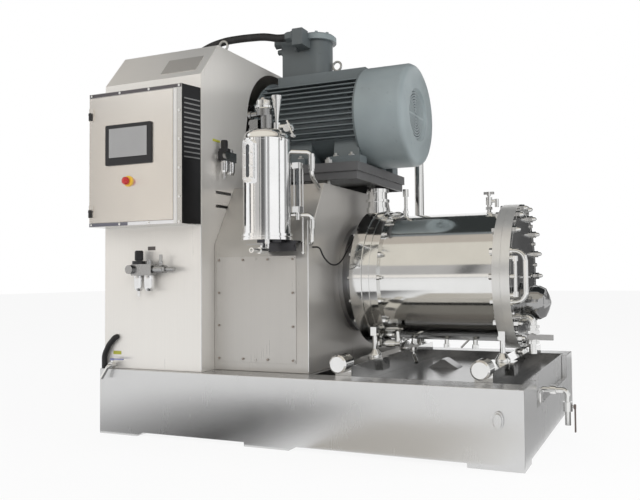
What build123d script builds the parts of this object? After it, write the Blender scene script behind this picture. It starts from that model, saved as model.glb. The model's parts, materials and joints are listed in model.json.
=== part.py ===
from build123d import *
from math import asin, cos, degrees, pi, radians, sin, sqrt
import os

os.makedirs("parts", exist_ok=True)

# Sand mill, millimetres. X runs along the mill shaft, +X towards the grinding
# barrel's end cover. -Y is the operator's side, Z is up, the floor is Z = 0.

# Base skid
base_length = 2154.0
base_depth = 1522.0
base_height = 327.0
base_left = -1150.0
base_front = -704.0
base_wall = 6.0
pad_height = 19.0
pad_depth = 150.0
pad_bevel = 38.0
pad_length = 236.0
pad_middle_start = 856.0
tray_start = 1150.0
tray_end_gap = 34.0
tray_side_gap = 140.0
tray_depth = 44.0
tray_wall = 3.0
sump_cover_length = 170.0
sump_cover_height = 48.0
sump_cover_from_front = 915.0
sump_cover_from_end = 594.0
notch_start = 300.0
notch_length = 990.0
notch_floor = 205.0
plug_half_width = 22.0
plug_half_height = 37.0
plug_reach = 24.0
plug_from_end = 103.0
plug_height = 201.0

# Crossbeams under the barrel and the polished post behind it
crossbeam_height = 91.0
crossbeam_half_width = 40.0
slide_half_length = 62.0
slide_half_depth = 48.0
slide_height = 62.0
buffer_radius = 43.0
buffer_length = 95.0
buffer_height = 386.0
buffer_start = 75.0
rear_post_gap = 254.0
rear_post_top = 1560.0

# Belt guard hood
hood_length = 598.0
hood_front_gap = 33.5
hood_wall = 5.0
hood_shoulder = 1785.0
hood_ridge = 1969.0
hood_slope_run = 145.0
motor_opening_radius = 307.0
motor_opening_flare = 49.0
motor_opening_foot = 1290.0
motor_opening_knee = 1400.0
slot_heights = (1215.0, 1145.0)
slot_start = 159.0
slot_length = 139.0
slot_width = 14.0
rear_panel_width = 420.0
rear_panel_bottom = 560.0
rear_panel_height = 1180.0
rear_panel_lap = 18.0
hood_eye_gap = 38.0
hood_eye_from_front = 285.0

# Pedestal between the hood and the barrel
pedestal_length = 527.0
pedestal_front_gap = 142.0
pedestal_shoulder = 950.0
pedestal_top = 1250.0
pedestal_slope_run = 180.0
pedestal_wall = 10.0
panel_side_gap = 16.0
panel_width = 446.0
panel_bottom = 371.0
panel_height = 514.0
panel_thick = 3.0

# Motor and its platform
platform_top = 1364.0
platform_thick = 46.0
platform_half_depth = 345.0
platform_end = 1266.0
platform_rib = 40.0
platform_rib_thick = 14.0
platform_inset = 10.0
motor_shaft_height = 280.0
motor_body_radius = 235.0
motor_fin_radius = 268.0
motor_cover_radius = 274.5
motor_shaft_radius = 40.0
motor_shaft_reach = 140.0
motor_shoulder = 571.0
motor_shield_length = 49.0
motor_body_length = 595.0
motor_cover_length = 258.0
motor_cover_wall = 4.0
motor_intake_radius = 142.0
fin_rows = 14
fin_first_row = 2
fin_pitch = 28.0
fin_thick = 6.0
top_pad_height = 264.0
top_pad_half_width = 112.0
foot_half_width = 275.0
foot_height = 44.0
foot_spans = ((735.0, 195.0), (1066.0, 146.0))
foot_toe_length = 38.0
foot_toe_width = 85.0
foot_bolt_offset = 228.5
foot_bolt_places = (793.0, 882.0, 1091.0, 1180.0)
terminal_x = 872.0
terminal_length = 178.0
terminal_radius = 88.0
terminal_foot = 1908.0
terminal_step = 2045.0
terminal_top = 2110.0
terminal_cover_radius = 109.0
terminal_cover_thick = 38.0
gland_reach = 62.0
gland_side = 600.0
gland_z = 2114.0
gland_radius = 32.0
cable_radius = 21.0
cable_entry = (100.0, 590.0)
cable_entry_height = 18.0
jack_radius = 11.0
jack_nut = 36.0
jack_end_gap = 60.0
jack_pedestal_gap = 45.0

# Grinding barrel, mill shaft and drive
shaft_height = 776.0
shaft_radius = 60.0
pulley_seat_radius = 50.0
neck_length = 94.0
neck_radius = 240.0
housing_radius = 170.0
housing_flange_radius = 290.0
housing_flange_thick = 25.0
bearing_radius = 115.0
bearing_length = 60.0
seal_radius = 105.0
flange_radius = 361.0
discharge_flange_thick = 64.0
adapter_thick = 39.0
jacket_flange_radius = 352.0
jacket_flange_thick = 40.0
barrel_end_gap = 177.0
barrel_radius = 328.0
jacket_wall = 8.0
liner_radius = 300.0
liner_wall = 12.0
end_flange_thick = 38.0
end_cover_thick = 44.0
disc_radius = 250.0
disc_thick = 20.0
disc_count = 5
disc_holes = 5
sleeve_radius = 75.0
nut_count = 18
nut_circle = 343.5
jacket_nut_circle = 340.0
dome_drop = 132.0
dome_radius = 84.0
dome_reach = 132.0
handle_step = 9
handle_reach = 68.0
handle_bend = 48.0
column_offset = 340.0
outlet_y = -141.0
outlet_drop = 201.0
outlet_turn = 64.0
outlet_bore = 14.0
leg_y = 231.0
leg_radius = 13.0
port_y = -60.0
port_radius = 60.0
port_top = 1252.0
sensor_share = 0.113
drain_share = 0.2
valve_share = 0.125
vent_share = 0.806
plug_shares = (0.475, 0.704)
eye_place = 995.0
eye_stem = 36.0
jack_inset = 48.0
pulley_width = 140.0
drive_pulley_radius = 150.0
driven_pulley_radius = 225.0
groove_count = 6
groove_pitch = 22.0
groove_depth = 16.0
belt_width = 12.0
belt_thick = 12.0

# Seal fluid tank
tank_x = 976.0
tank_y = 22.0
tank_bottom = 954.0
tank_height = 455.0
tank_radius = 112.0
tank_wall = 3.0
tank_flange_radius = 119.0
tank_flange_thick = 29.0
lid_radius = 113.0
lid_thick = 54.0
window_width = 64.0
window_corner = 22.0
window_height = 196.0
window_top_gap = 2.0
window_reach = 22.0
window_turn = -10.0
window_glass_width = 20.0
window_glass_height = 150.0
tank_drain_drop = 49.0
upper_pipe_z = 1374.0
lower_pipe_z = 1075.0
gauge_link_z = 1304.0
gauge_x = 1098.0
gauge_y = 92.0

# Air sets on the hood
front_set_x = 256.0
front_set_z = 832.0
front_size = 1.0
side_set_y = 180.0
side_set_z = 1400.0
side_size = 0.86
set_depth = 42.0
valve_start = 90.0
valve_stem = 44.0

# Control cabinet
cabinet_width = 568.0
cabinet_bottom = 1043.0
cabinet_height = 673.0
cabinet_front = -77.5
cabinet_wall = 3.0
door_width = 516.0
door_margin = 20.0
door_thick = 20.0
door_skin = 2.5
screen_left = 110.0
screen_bottom = 1345.0
screen_width = 284.0
screen_height = 202.0
stop_x = 250.0
stop_z = 1262.0
stop_travel = 5.0
latch_heights = (1611.0, 1120.0)
latch_inset = 14.0

# Pipes and leads on the base
conduit_x = 84.0
conduit_z = 487.0
conduit_radius = 13.5
water_x = 76.0
water_z = 346.0
tray_drain_y = 450.0
tray_drain_z = 265.0
tray_drain_reach = 124.0
lead_radius = 4.0

# Clearances
seat_gap = 0.3
running_gap = 0.05

# Places worked out from the sizes above
base_right = base_left + base_length
base_back = base_front + base_depth
shaft_y = base_front + base_depth / 2
hood_right = base_left + hood_length
hood_front = base_front + hood_front_gap
hood_back = base_back - hood_front_gap
pedestal_right = hood_right + pedestal_length
pedestal_front = base_front + pedestal_front_gap
pedestal_back = base_back - pedestal_front_gap
motor_z = platform_top + motor_shaft_height
discharge_left = pedestal_right + neck_length
adapter_left = discharge_left + discharge_flange_thick
barrel_left = adapter_left + adapter_thick
barrel_right = base_right - barrel_end_gap
barrel_length = barrel_right - barrel_left
cover_right = barrel_right + end_cover_thick
shoulder_x = base_left + motor_shoulder
belt_centre = shoulder_x - motor_shaft_reach / 2
motor_body_left = shoulder_x + motor_shield_length
motor_body_right = motor_body_left + motor_body_length
motor_end = motor_body_right + motor_cover_length
tray_floor = base_height - tray_depth
cabinet_face = base_front + cabinet_front
cabinet_right = base_left + cabinet_width
cabinet_top = cabinet_bottom + cabinet_height
leg_places = (adapter_left + adapter_thick / 2, barrel_right - end_flange_thick / 2)
crossbeam_top = tray_floor + crossbeam_height
sump_cover_x = base_right - sump_cover_from_end
sump_cover_y = base_front + sump_cover_from_front


def at_x(distance):
    return base_left + distance


def at_y(distance):
    return base_front + distance


def block(x0, x1, y0, y1, z0, z1):
    centre = Pos((x0 + x1) / 2, (y0 + y1) / 2, (z0 + z1) / 2)
    return centre * Box(x1 - x0, y1 - y0, z1 - z0)


def rod_x(radius, x0, x1, y, z):
    return Pos((x0 + x1) / 2, y, z) * Rot(0, 90, 0) * Cylinder(radius, x1 - x0)


def rod_y(radius, y0, y1, x, z):
    return Pos(x, (y0 + y1) / 2, z) * Rot(90, 0, 0) * Cylinder(radius, y1 - y0)


def rod_z(radius, z0, z1, x, y):
    return Pos(x, y, (z0 + z1) / 2) * Cylinder(radius, z1 - z0)


def hex_x(across, x0, x1, y, z):
    plate = RegularPolygon(across / sqrt(3), 6)
    return Pos(x0, y, z) * Rot(0, 90, 0) * extrude(plate, amount=x1 - x0)


def hex_z(across, z0, z1, x, y):
    plate = RegularPolygon(across / sqrt(3), 6)
    return Pos(x, y, z0) * extrude(plate, amount=z1 - z0)


def prism_x(points, x0, x1):
    wire = Polyline(*[(x0, y, z) for y, z in points], close=True)
    return extrude(make_face(wire), amount=x1 - x0, dir=(1, 0, 0))


def prism_y(points, y0, y1):
    wire = Polyline(*[(x, y0, z) for x, z in points], close=True)
    return extrude(make_face(wire), amount=y1 - y0, dir=(0, 1, 0))


def prism_z(points, z0, z1):
    wire = Polyline(*[(x, y, z0) for x, y in points], close=True)
    return extrude(make_face(wire), amount=z1 - z0, dir=(0, 0, 1))


def turned_x(profile, y, z):
    wire = Polyline(*[(x, y, z + r) for x, r in profile], close=True)
    return revolve(make_face(wire), Axis((0, y, z), (1, 0, 0)))


def turned_y(profile, x, z):
    wire = Polyline(*[(x, y, z + r) for y, r in profile], close=True)
    return revolve(make_face(wire), Axis((x, 0, z), (0, 1, 0)))


def turned_z(profile, x, y):
    wire = Polyline(*[(x + r, y, z) for z, r in profile], close=True)
    return revolve(make_face(wire), Axis((x, y, 0), (0, 0, 1)))


def pipe(points, bends, radius):
    if len(points) == 2:
        path = Line(points[0], points[1])
    else:
        path = FilletPolyline(*points, radius=bends)
    section = Plane(origin=path @ 0, z_dir=path % 0) * Circle(radius)
    return sweep(section, path=path)


def run_bends(points, share=0.45):
    bends = []
    for before, corner, after in zip(points, points[1:], points[2:]):
        run_in = Vector(corner) - Vector(before)
        run_out = Vector(after) - Vector(corner)
        turn = radians(run_in.get_angle(run_out))
        bends.append(share * min(run_in.length, run_out.length) / (sin(turn / 2) / cos(turn / 2)))
    return bends


def report_tube(name, tube, points, bends, radius):
    length = FilletPolyline(*points, radius=bends).length
    print(name, "bend radii", [round(bend) for bend in bends], "volume", round(tube.volume),
          "section times length", round(pi * radius ** 2 * length))


def save(name, pieces):
    solids = []
    for piece in pieces:
        solids.extend(piece.solids())
    shape = solids[0] if len(solids) == 1 else Compound(children=solids)
    export_step(shape, "parts/" + name + ".step")


# Base skid

def pad(start, y0, y1):
    x0 = at_x(start)
    x1 = x0 + pad_length
    tail = min(x1 + pad_bevel, base_right)
    profile = [(x0, 0), (x1, 0), (tail, pad_height), (x0, pad_height)]
    return prism_y(profile, y0, y1)


def base_frame():
    tray_x0 = at_x(tray_start)
    tray_x1 = base_right - tray_end_gap
    tray_y0 = base_front + tray_side_gap
    tray_y1 = base_back - tray_side_gap
    skirt = block(base_left, base_right, base_front, base_back, pad_height, base_height)
    deck_under = base_height - base_wall
    floor = pad_height + base_wall
    inside = block(
        base_left + base_wall, tray_x0 - base_wall, base_front + base_wall, base_back - base_wall,
        floor, deck_under)
    frame = skirt - inside
    under_tray = tray_floor - tray_wall
    frame = frame - block(tray_x0, tray_x1, tray_y0, tray_y1, under_tray, base_height + 1)
    frame = frame - block(
        tray_x0, tray_x1 - base_wall, tray_y0 + base_wall, tray_y1 - base_wall, floor, under_tray - base_wall)
    notch_y0 = at_y(notch_start)
    notch_y1 = notch_y0 + notch_length
    sill_x = tray_x1 + base_wall
    for start in (0, pad_middle_start, base_length - pad_length):
        frame = frame + pad(start, base_front, base_front + pad_depth)
        frame = frame + pad(start, base_back - pad_depth, base_back)
    body = frame - block(sill_x, base_right + 1, base_front - 1, base_back + 1, -1, base_height + 1)
    near_end = frame & block(sill_x, base_right + 1, base_front - 1, notch_y0, -1, base_height + 1)
    far_end = frame & block(sill_x, base_right + 1, notch_y1, base_back + 1, -1, base_height + 1)
    sill = frame & block(sill_x, base_right + 1, notch_y0, notch_y1, -1, notch_floor)
    boss = Pos(base_right - plug_from_end, base_front, plug_height) * Rot(90, 0, 0)
    plug = boss * extrude(Ellipse(plug_half_width, plug_half_height), amount=plug_reach * 0.5)
    plug = plug + boss * Pos(0, 0, plug_reach * 0.5) * extrude(
        Ellipse(plug_half_width * 0.8, plug_half_height * 0.8), amount=plug_reach * 0.5)
    return [body, near_end, far_end, sill, plug]


def drip_tray():
    x0 = at_x(tray_start)
    x1 = base_right - tray_end_gap
    y0 = base_front + tray_side_gap
    y1 = base_back - tray_side_gap
    pan = block(x0, x1, y0, y1, tray_floor - tray_wall, base_height)
    hollow = block(x0 + tray_wall, x1 - tray_wall, y0 + tray_wall, y1 - tray_wall, tray_floor, base_height + 1)
    half = sump_cover_length / 2
    ridge = [
        (sump_cover_x - half, tray_floor), (sump_cover_x + half, tray_floor),
        (sump_cover_x + half * 0.1, tray_floor + sump_cover_height),
        (sump_cover_x - half * 0.1, tray_floor + sump_cover_height)]
    cover = prism_y(ridge, sump_cover_y - half * 0.6, sump_cover_y + half * 0.6)
    return [pan - hollow, cover]


def barrel_crossbeams():
    beams = []
    y0 = base_front + tray_side_gap + tray_wall
    y1 = base_back - tray_side_gap - tray_wall
    slide_y = shaft_y - leg_y
    for x in leg_places:
        beam = block(x - crossbeam_half_width, x + crossbeam_half_width, y0, y1, tray_floor, crossbeam_top)
        stand = block(x - 12, x + 12, y0, y0 + 40, crossbeam_top, buffer_height)
        beam = beam + block(
            x - slide_half_length, x + slide_half_length, slide_y - slide_half_depth,
            slide_y + slide_half_depth, crossbeam_top - slide_height, crossbeam_top)
        cap_y = base_front + buffer_start
        cap = turned_y(
            [(cap_y, 0), (cap_y, buffer_radius - 8), (cap_y + 8, buffer_radius),
             (cap_y + buffer_length, buffer_radius), (cap_y + buffer_length, 0)],
            x, buffer_height)
        beams.append(beam + stand + cap)
    return beams


# Belt guard hood

def hood_profile(gap):
    y0 = hood_front + gap
    y1 = hood_back - gap
    bend = gap * 0.4
    foot = base_height - min(gap, 1)
    return [
        (y0, foot), (y0, hood_shoulder - bend), (y0 + hood_slope_run, hood_ridge - gap),
        (y1, hood_ridge - gap), (y1, foot)]


def motor_opening(x0, x1):
    flare = motor_opening_radius + motor_opening_flare
    low = [
        (shaft_y - flare, motor_opening_foot), (shaft_y - flare, motor_opening_knee),
        (shaft_y - motor_opening_radius, motor_z), (shaft_y + motor_opening_radius, motor_z),
        (shaft_y + flare, motor_opening_knee), (shaft_y + flare, motor_opening_foot)]
    return rod_x(motor_opening_radius, x0, x1, shaft_y, motor_z) + prism_x(low, x0, x1)


def belt_guard_hood():
    hood = prism_x(hood_profile(0), base_left, hood_right)
    hood = hood - prism_x(hood_profile(hood_wall), base_left + hood_wall, hood_right - hood_wall)
    wall_x = (hood_right - hood_wall - 1, hood_right + 1)
    hood = hood - motor_opening(*wall_x)
    hood = hood - rod_x(shaft_radius + 12, *wall_x, shaft_y, shaft_height)
    for height in slot_heights:
        y0 = at_y(slot_start)
        hood = hood - block(*wall_x, y0, y0 + slot_length, height - slot_width / 2, height + slot_width / 2)
    rear_x = (base_left + hood_right) / 2
    half = rear_panel_width / 2 - rear_panel_lap
    hood = hood - block(
        rear_x - half, rear_x + half, hood_back - hood_wall - 1, hood_back + 1,
        rear_panel_bottom + rear_panel_lap, rear_panel_bottom + rear_panel_height - rear_panel_lap)
    return [hood]


def access_panels():
    rear_x = (base_left + hood_right) / 2
    rear = block(
        rear_x - rear_panel_width / 2, rear_x + rear_panel_width / 2, hood_back, hood_back + panel_thick,
        rear_panel_bottom, rear_panel_bottom + rear_panel_height)
    for row in range(8):
        z = rear_panel_bottom + rear_panel_height - 180 - 32 * row
        rear = rear - block(rear_x - 120, rear_x + 120, hood_back - 1, hood_back + panel_thick + 1, z, z + 8)
    x0 = hood_right + panel_side_gap
    front = block(
        x0, x0 + panel_width, pedestal_front - panel_thick, pedestal_front,
        panel_bottom, panel_bottom + panel_height)
    for x in (x0 + 12, x0 + panel_width / 2, x0 + panel_width - 12):
        for z in (panel_bottom + 12, panel_bottom + panel_height - 12):
            front = front + rod_y(7, pedestal_front - panel_thick - 3, pedestal_front, x, z)
    slope = slope_plate(at_x(336), at_x(548), 40, 152)
    return [rear, front, slope]


def slope_plate(x0, x1, low, high):
    rise = hood_ridge - hood_shoulder
    length = sqrt(rise ** 2 + hood_slope_run ** 2)
    lean = degrees(asin(hood_slope_run / length))
    plate = Box(x1 - x0, panel_thick, high - low)
    place = Pos((x0 + x1) / 2, hood_front, hood_shoulder) * Rot(-lean, 0, 0)
    return place * Pos(0, -panel_thick / 2 - 0.01, (low + high) / 2) * plate


# Pedestal

def pedestal_profile(gap):
    front = pedestal_front + gap
    back = pedestal_back - gap
    top = pedestal_top - gap
    foot = base_height - min(gap, 1)
    return [
        (front, foot), (front, pedestal_shoulder), (front + pedestal_slope_run, top),
        (back - pedestal_slope_run, top), (back, pedestal_shoulder), (back, foot)]


def pedestal():
    frame = prism_x(pedestal_profile(0), hood_right, pedestal_right)
    frame = frame - prism_x(
        pedestal_profile(pedestal_wall), hood_right + pedestal_wall, pedestal_right - pedestal_wall)
    frame = frame - rod_x(
        shaft_radius + 12, hood_right - 1, hood_right + pedestal_wall + 1, shaft_y, shaft_height)
    frame = frame - rod_x(
        housing_radius, pedestal_right - pedestal_wall - 1, pedestal_right + 1, shaft_y, shaft_height)
    return [frame]


# Motor platform, fasteners and motor

def platform_span():
    return at_x(640), at_x(platform_end)


def jack_places():
    x0, x1 = platform_span()
    reach = platform_half_depth - jack_inset
    ends = (x0 + jack_end_gap, pedestal_right - jack_pedestal_gap)
    return [(x, shaft_y + side * reach) for x in ends for side in (-1, 1)]


def motor_platform():
    x0, x1 = platform_span()
    y0 = shaft_y - platform_half_depth
    y1 = shaft_y + platform_half_depth
    under = platform_top - platform_thick
    plate = block(x0, x1, y0, y1, under, platform_top)
    inner_y = platform_half_depth - platform_inset - platform_rib_thick
    rib = block(
        x0 + platform_inset, x1 - platform_inset, y0 + platform_inset, y1 - platform_inset,
        under - platform_rib, under)
    rib = rib - block(
        x0, x1 - platform_inset - platform_rib_thick, shaft_y - inner_y, shaft_y + inner_y,
        under - platform_rib - 1, under)
    plate = plate + rib
    for x, y in jack_places():
        plate = plate - rod_z(jack_radius, under - 1, platform_top + 1, x, y)
    for x in foot_bolt_places:
        for side in (-1, 1):
            plate = plate - rod_z(10, under - 1, platform_top + 1, at_x(x), shaft_y + side * foot_bolt_offset)
    return [plate]


def lifting_eye(x, y, z, stem):
    eye = rod_z(15, z, z + stem, x, y)
    ring = Pos(x, y, z + stem + 23) * Rot(90, 0, 0) * Torus(25, 6)
    return eye + ring


def motor_fasteners():
    under = platform_top - platform_thick
    pieces = []
    for x, y in jack_places():
        stud = rod_z(jack_radius, pedestal_top, platform_top + 34, x, y)
        stud = stud + rod_z(18, pedestal_top, pedestal_top + 10, x, y)
        stud = stud + hex_z(jack_nut, under - 24, under, x, y)
        stud = stud + hex_z(jack_nut, platform_top, platform_top + 24, x, y)
        pieces.append(stud)
    for x in foot_bolt_places:
        for side in (-1, 1):
            y = shaft_y + side * foot_bolt_offset
            foot_top = platform_top + foot_height
            bolt = rod_z(10, under - 14, foot_top, at_x(x), y)
            bolt = bolt + hex_z(30, foot_top, foot_top + 13, at_x(x), y)
            bolt = bolt + rod_z(8, foot_top + 13, foot_top + 24, at_x(x), y)
            bolt = bolt + hex_z(30, under - 14, under, at_x(x), y)
            pieces.append(bolt)
    pieces.append(lifting_eye(at_x(eye_place), shaft_y, motor_z + top_pad_height, eye_stem))
    pieces.append(lifting_eye(hood_right - hood_eye_gap, at_y(hood_eye_from_front), hood_ridge, 8.0))
    return pieces


def motor_frame():
    x0 = motor_body_left
    x1 = motor_body_right
    body = rod_x(motor_body_radius, x0, x1, shaft_y, motor_z)
    for row in range(fin_first_row, fin_rows):
        rise = (row - (fin_rows - 1) / 2) * fin_pitch
        reach = sqrt(motor_fin_radius ** 2 - rise ** 2)
        z = motor_z + rise
        body = body + block(
            x0 + 18, x1 - 12, shaft_y - reach, shaft_y + reach, z - fin_thick / 2, z + fin_thick / 2)
    for start, length in foot_spans:
        foot = [
            (shaft_y - foot_half_width, platform_top), (shaft_y + foot_half_width, platform_top),
            (shaft_y + foot_half_width, platform_top + foot_height),
            (shaft_y + 206, platform_top + foot_height), (shaft_y + 190, motor_z - 130),
            (shaft_y - 190, motor_z - 130), (shaft_y - 206, platform_top + foot_height),
            (shaft_y - foot_half_width, platform_top + foot_height)]
        body = body + prism_x(foot, at_x(start), at_x(start + length))
    toe_x = at_x(sum(foot_spans[-1]))
    for side in (-1, 1):
        toe_y = shaft_y + side * (foot_half_width - foot_toe_width / 2)
        body = body + block(
            toe_x, toe_x + foot_toe_length, toe_y - foot_toe_width / 2, toe_y + foot_toe_width / 2,
            platform_top, platform_top + foot_height)
    body = body + block(
        at_x(terminal_x - terminal_length - 15), x1, shaft_y - top_pad_half_width,
        shaft_y + top_pad_half_width, motor_z + 190, motor_z + top_pad_height)
    body = body + rod_x(
        motor_cover_radius - motor_cover_wall - seat_gap, x1 - 12, x1 + 12, shaft_y, motor_z)
    body = body - rod_x(motor_shaft_radius + running_gap, x0 - 1, x1 + 20, shaft_y, motor_z)
    for x in foot_bolt_places:
        for side in (-1, 1):
            body = body - rod_z(
                10, platform_top - 1, platform_top + foot_height + 1, at_x(x), shaft_y + side * foot_bolt_offset)
    return [body]


def motor_end_shield():
    profile = [
        (shoulder_x, motor_shaft_radius + running_gap), (shoulder_x, 95), (shoulder_x + 14, 110),
        (shoulder_x + 22, 200), (shoulder_x + 30, 245), (motor_body_left, 255),
        (motor_body_left, motor_shaft_radius + running_gap)]
    shield = turned_x(profile, shaft_y, motor_z)
    for step in range(8):
        angle = radians(22.5 + 45 * step)
        y = shaft_y + 232 * cos(angle)
        z = motor_z + 232 * sin(angle)
        shield = shield + rod_x(11, shoulder_x + 18, shoulder_x + 34, y, z)
    return [shield]


def motor_fan_cover():
    x0 = motor_body_right
    x1 = motor_end
    r = motor_cover_radius
    w = motor_cover_wall
    profile = [
        (x0, r - w), (x0, r), (x1 - 26, r), (x1 - 8, r - 10), (x1, r - 28), (x1, motor_intake_radius),
        (x1 - 14, motor_intake_radius - 10), (x1 - 14, motor_intake_radius - 10 - w),
        (x1 - 14 - w, motor_intake_radius - 10 - w), (x1 - 14 - w, motor_intake_radius),
        (x1 - w - 4, motor_intake_radius + w), (x1 - w - 4, r - 34), (x1 - 30, r - w)]
    cover = turned_x(profile, shaft_y, motor_z)
    for ring in range(8):
        outer = 27 + 14 * ring
        inner = outer - 9
        rim = rod_x(outer, x1 - 14 - w, x1 - 14, shaft_y, motor_z)
        cover = cover + (rim - rod_x(inner, x1 - 20 - w, x1, shaft_y, motor_z))
    spoke = motor_intake_radius - 10 - w / 2
    cover = cover + block(x1 - 14 - w, x1 - 14, shaft_y - 4, shaft_y + 4, motor_z - spoke, motor_z + spoke)
    cover = cover + block(x1 - 14 - w, x1 - 14, shaft_y - spoke, shaft_y + spoke, motor_z - 4, motor_z + 4)
    return [cover]


def junction_box():
    x = at_x(terminal_x)
    left = at_x(terminal_x - terminal_length)
    r = terminal_radius
    box = rod_z(r, terminal_foot, terminal_top, x, shaft_y)
    box = box + block(left, x, shaft_y - r, shaft_y + r, terminal_foot, terminal_step)
    box = box + block(left - 12, x, shaft_y - r + 12, shaft_y + r - 12, terminal_step, terminal_top)
    cover_top = terminal_top + terminal_cover_thick
    box = box + block(
        left - 12, x - terminal_cover_radius - 4, shaft_y - r + 12, shaft_y + r - 12, terminal_step, cover_top)
    gland_y = at_y(gland_side)
    box = box + block(x - gland_reach, x, gland_y - 28, shaft_y - r + 40, gland_z - 56, terminal_top)
    box = box + block(x - gland_reach, x, gland_y - 28, gland_y + 44, gland_z - 56, gland_z + 34)
    return [box]


def junction_box_cover():
    x = at_x(terminal_x)
    top = terminal_top + terminal_cover_thick
    profile = [
        (terminal_top, 0), (terminal_top, terminal_cover_radius), (top - 10, terminal_cover_radius),
        (top, terminal_cover_radius - 12), (top, 0)]
    cover = turned_z(profile, x, shaft_y)
    for step in range(8):
        angle = radians(22.5 + 45 * step)
        bolt_x = x + 84 * cos(angle)
        bolt_y = shaft_y + 84 * sin(angle)
        cover = cover + hex_z(17, top, top + 9, bolt_x, bolt_y)
    return [cover]


def gland(x, y, z, radius, length):
    collar = rod_x(radius, x - 12, x, y, z)
    nut = hex_x(radius * 1.66, x - length, x - 12, y, z)
    return collar + nut


def cable_fittings():
    x = at_x(terminal_x) - gland_reach
    y = at_y(gland_side)
    power = gland(x, y, gland_z, gland_radius, 46)
    power = power - rod_x(cable_radius + seat_gap, x - 47, x - 20, y, gland_z)
    left = at_x(terminal_x - terminal_length) - 12
    spare = gland(left, shaft_y - 48, terminal_top + 12, 28, 50)
    spare = spare - rod_x(15, left - 51, left - 24, shaft_y - 48, terminal_top + 12)
    low = gland(left, shaft_y - 54, terminal_top - 38, 17, 30)
    front_y = shaft_y - terminal_radius + 12
    side = rod_y(16, front_y - 10, front_y, left + 102, terminal_top - 40)
    side = side + rod_y(11, front_y - 24, front_y - 10, left + 102, terminal_top - 40)
    entry_x = at_x(cable_entry[0])
    entry_y = at_y(cable_entry[1])
    entry = rod_z(38, hood_ridge, hood_ridge + 6, entry_x, entry_y)
    entry = entry + rod_z(30, hood_ridge + 6, hood_ridge + cable_entry_height, entry_x, entry_y)
    return [power, spare, low, side, entry]


def motor_cable():
    gland_x = terminal_x - gland_reach
    start = (gland_x - 20, gland_side, gland_z)
    end = (cable_entry[0], cable_entry[1], hood_ridge + cable_entry_height)
    route = [
        start, (gland_x - 96, gland_side, gland_z), (gland_x - 188, 600, 2138), (gland_x - 318, 598, 2146),
        (gland_x - 440, 596, 2146), (gland_x - 545, 593, 2128), (168, 591, 2088), (end[0], end[1], 2040), end]
    points = [(at_x(x), at_y(y), z) for x, y, z in route]
    bends = run_bends(points)
    cable = pipe(points, bends, cable_radius)
    report_tube("motor cable", cable, points, bends, cable_radius)
    return [cable]


# Bearing housing, barrel and mill shaft

def bearing_housing():
    x0 = hood_right + pedestal_wall
    left_pocket = x0 + bearing_length
    right_pocket = pedestal_right + housing_flange_thick - bearing_length
    seal_pocket = pedestal_right + housing_flange_thick
    bore = shaft_radius + 6
    profile = [
        (x0, bearing_radius), (x0, housing_radius), (pedestal_right, housing_radius),
        (pedestal_right, housing_flange_radius), (seal_pocket, housing_flange_radius),
        (seal_pocket, neck_radius), (discharge_left, neck_radius), (discharge_left, seal_radius),
        (seal_pocket, seal_radius), (seal_pocket, bearing_radius), (right_pocket, bearing_radius),
        (right_pocket, bore), (left_pocket, bore), (left_pocket, bearing_radius)]
    return [turned_x(profile, shaft_y, shaft_height)]


def ring_x(x0, x1, inner, outer, y, z):
    return rod_x(outer, x0, x1, y, z) - rod_x(inner, x0 - 1, x1 + 1, y, z)


def main_bearings():
    x0 = hood_right + pedestal_wall
    x1 = pedestal_right + housing_flange_thick
    bore = shaft_radius + running_gap
    left = ring_x(x0, x0 + bearing_length, bore, bearing_radius, shaft_y, shaft_height)
    right = ring_x(x1 - bearing_length, x1, bore, bearing_radius, shaft_y, shaft_height)
    return [left, right]


def bearings_and_seal():
    x0 = pedestal_right + housing_flange_thick
    bore = shaft_radius + running_gap
    seal = ring_x(x0, discharge_left, bore, seal_radius, shaft_y, shaft_height)
    return main_bearings() + [seal]


def end_flanges():
    bore = shaft_radius + 2
    inner = liner_radius - liner_wall
    discharge = ring_x(discharge_left, adapter_left, bore, flange_radius, shaft_y, shaft_height)
    adapter = ring_x(adapter_left, barrel_left, inner, flange_radius - 6, shaft_y, shaft_height)
    return [discharge, adapter]


def barrel_jacket():
    x0 = barrel_left
    x1 = barrel_right
    profile = [
        (x0, liner_radius), (x0, jacket_flange_radius), (x0 + jacket_flange_thick, jacket_flange_radius),
        (x0 + jacket_flange_thick, barrel_radius), (x1 - end_flange_thick, barrel_radius),
        (x1 - end_flange_thick, flange_radius), (x1, flange_radius), (x1, liner_radius),
        (x1 - end_flange_thick, liner_radius), (x1 - end_flange_thick, barrel_radius - jacket_wall),
        (x0 + jacket_flange_thick, barrel_radius - jacket_wall), (x0 + jacket_flange_thick, liner_radius)]
    return [turned_x(profile, shaft_y, shaft_height)]


def barrel_liner():
    return [ring_x(barrel_left, barrel_right, liner_radius - liner_wall, liner_radius, shaft_y, shaft_height)]


def end_cover():
    x0 = barrel_right
    x1 = cover_right
    cover = rod_x(flange_radius, x0, x1, shaft_y, shaft_height)
    cover = cover - ring_x(x1 - 3, x1 + 1, 322, 326, shaft_y, shaft_height)
    z = shaft_height - dome_drop
    bulge = dome_reach - dome_radius * 0.62
    profile = [
        (x1, 0), (x1, dome_radius + 22), (x1 + 16, dome_radius + 22), (x1 + 16, dome_radius),
        (x1 + bulge, dome_radius), (x1 + bulge + 28, dome_radius - 14), (x1 + dome_reach - 10, dome_radius - 44),
        (x1 + dome_reach, dome_radius - 74), (x1 + dome_reach, 0)]
    return [cover + turned_x(profile, shaft_y, z)]


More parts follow.
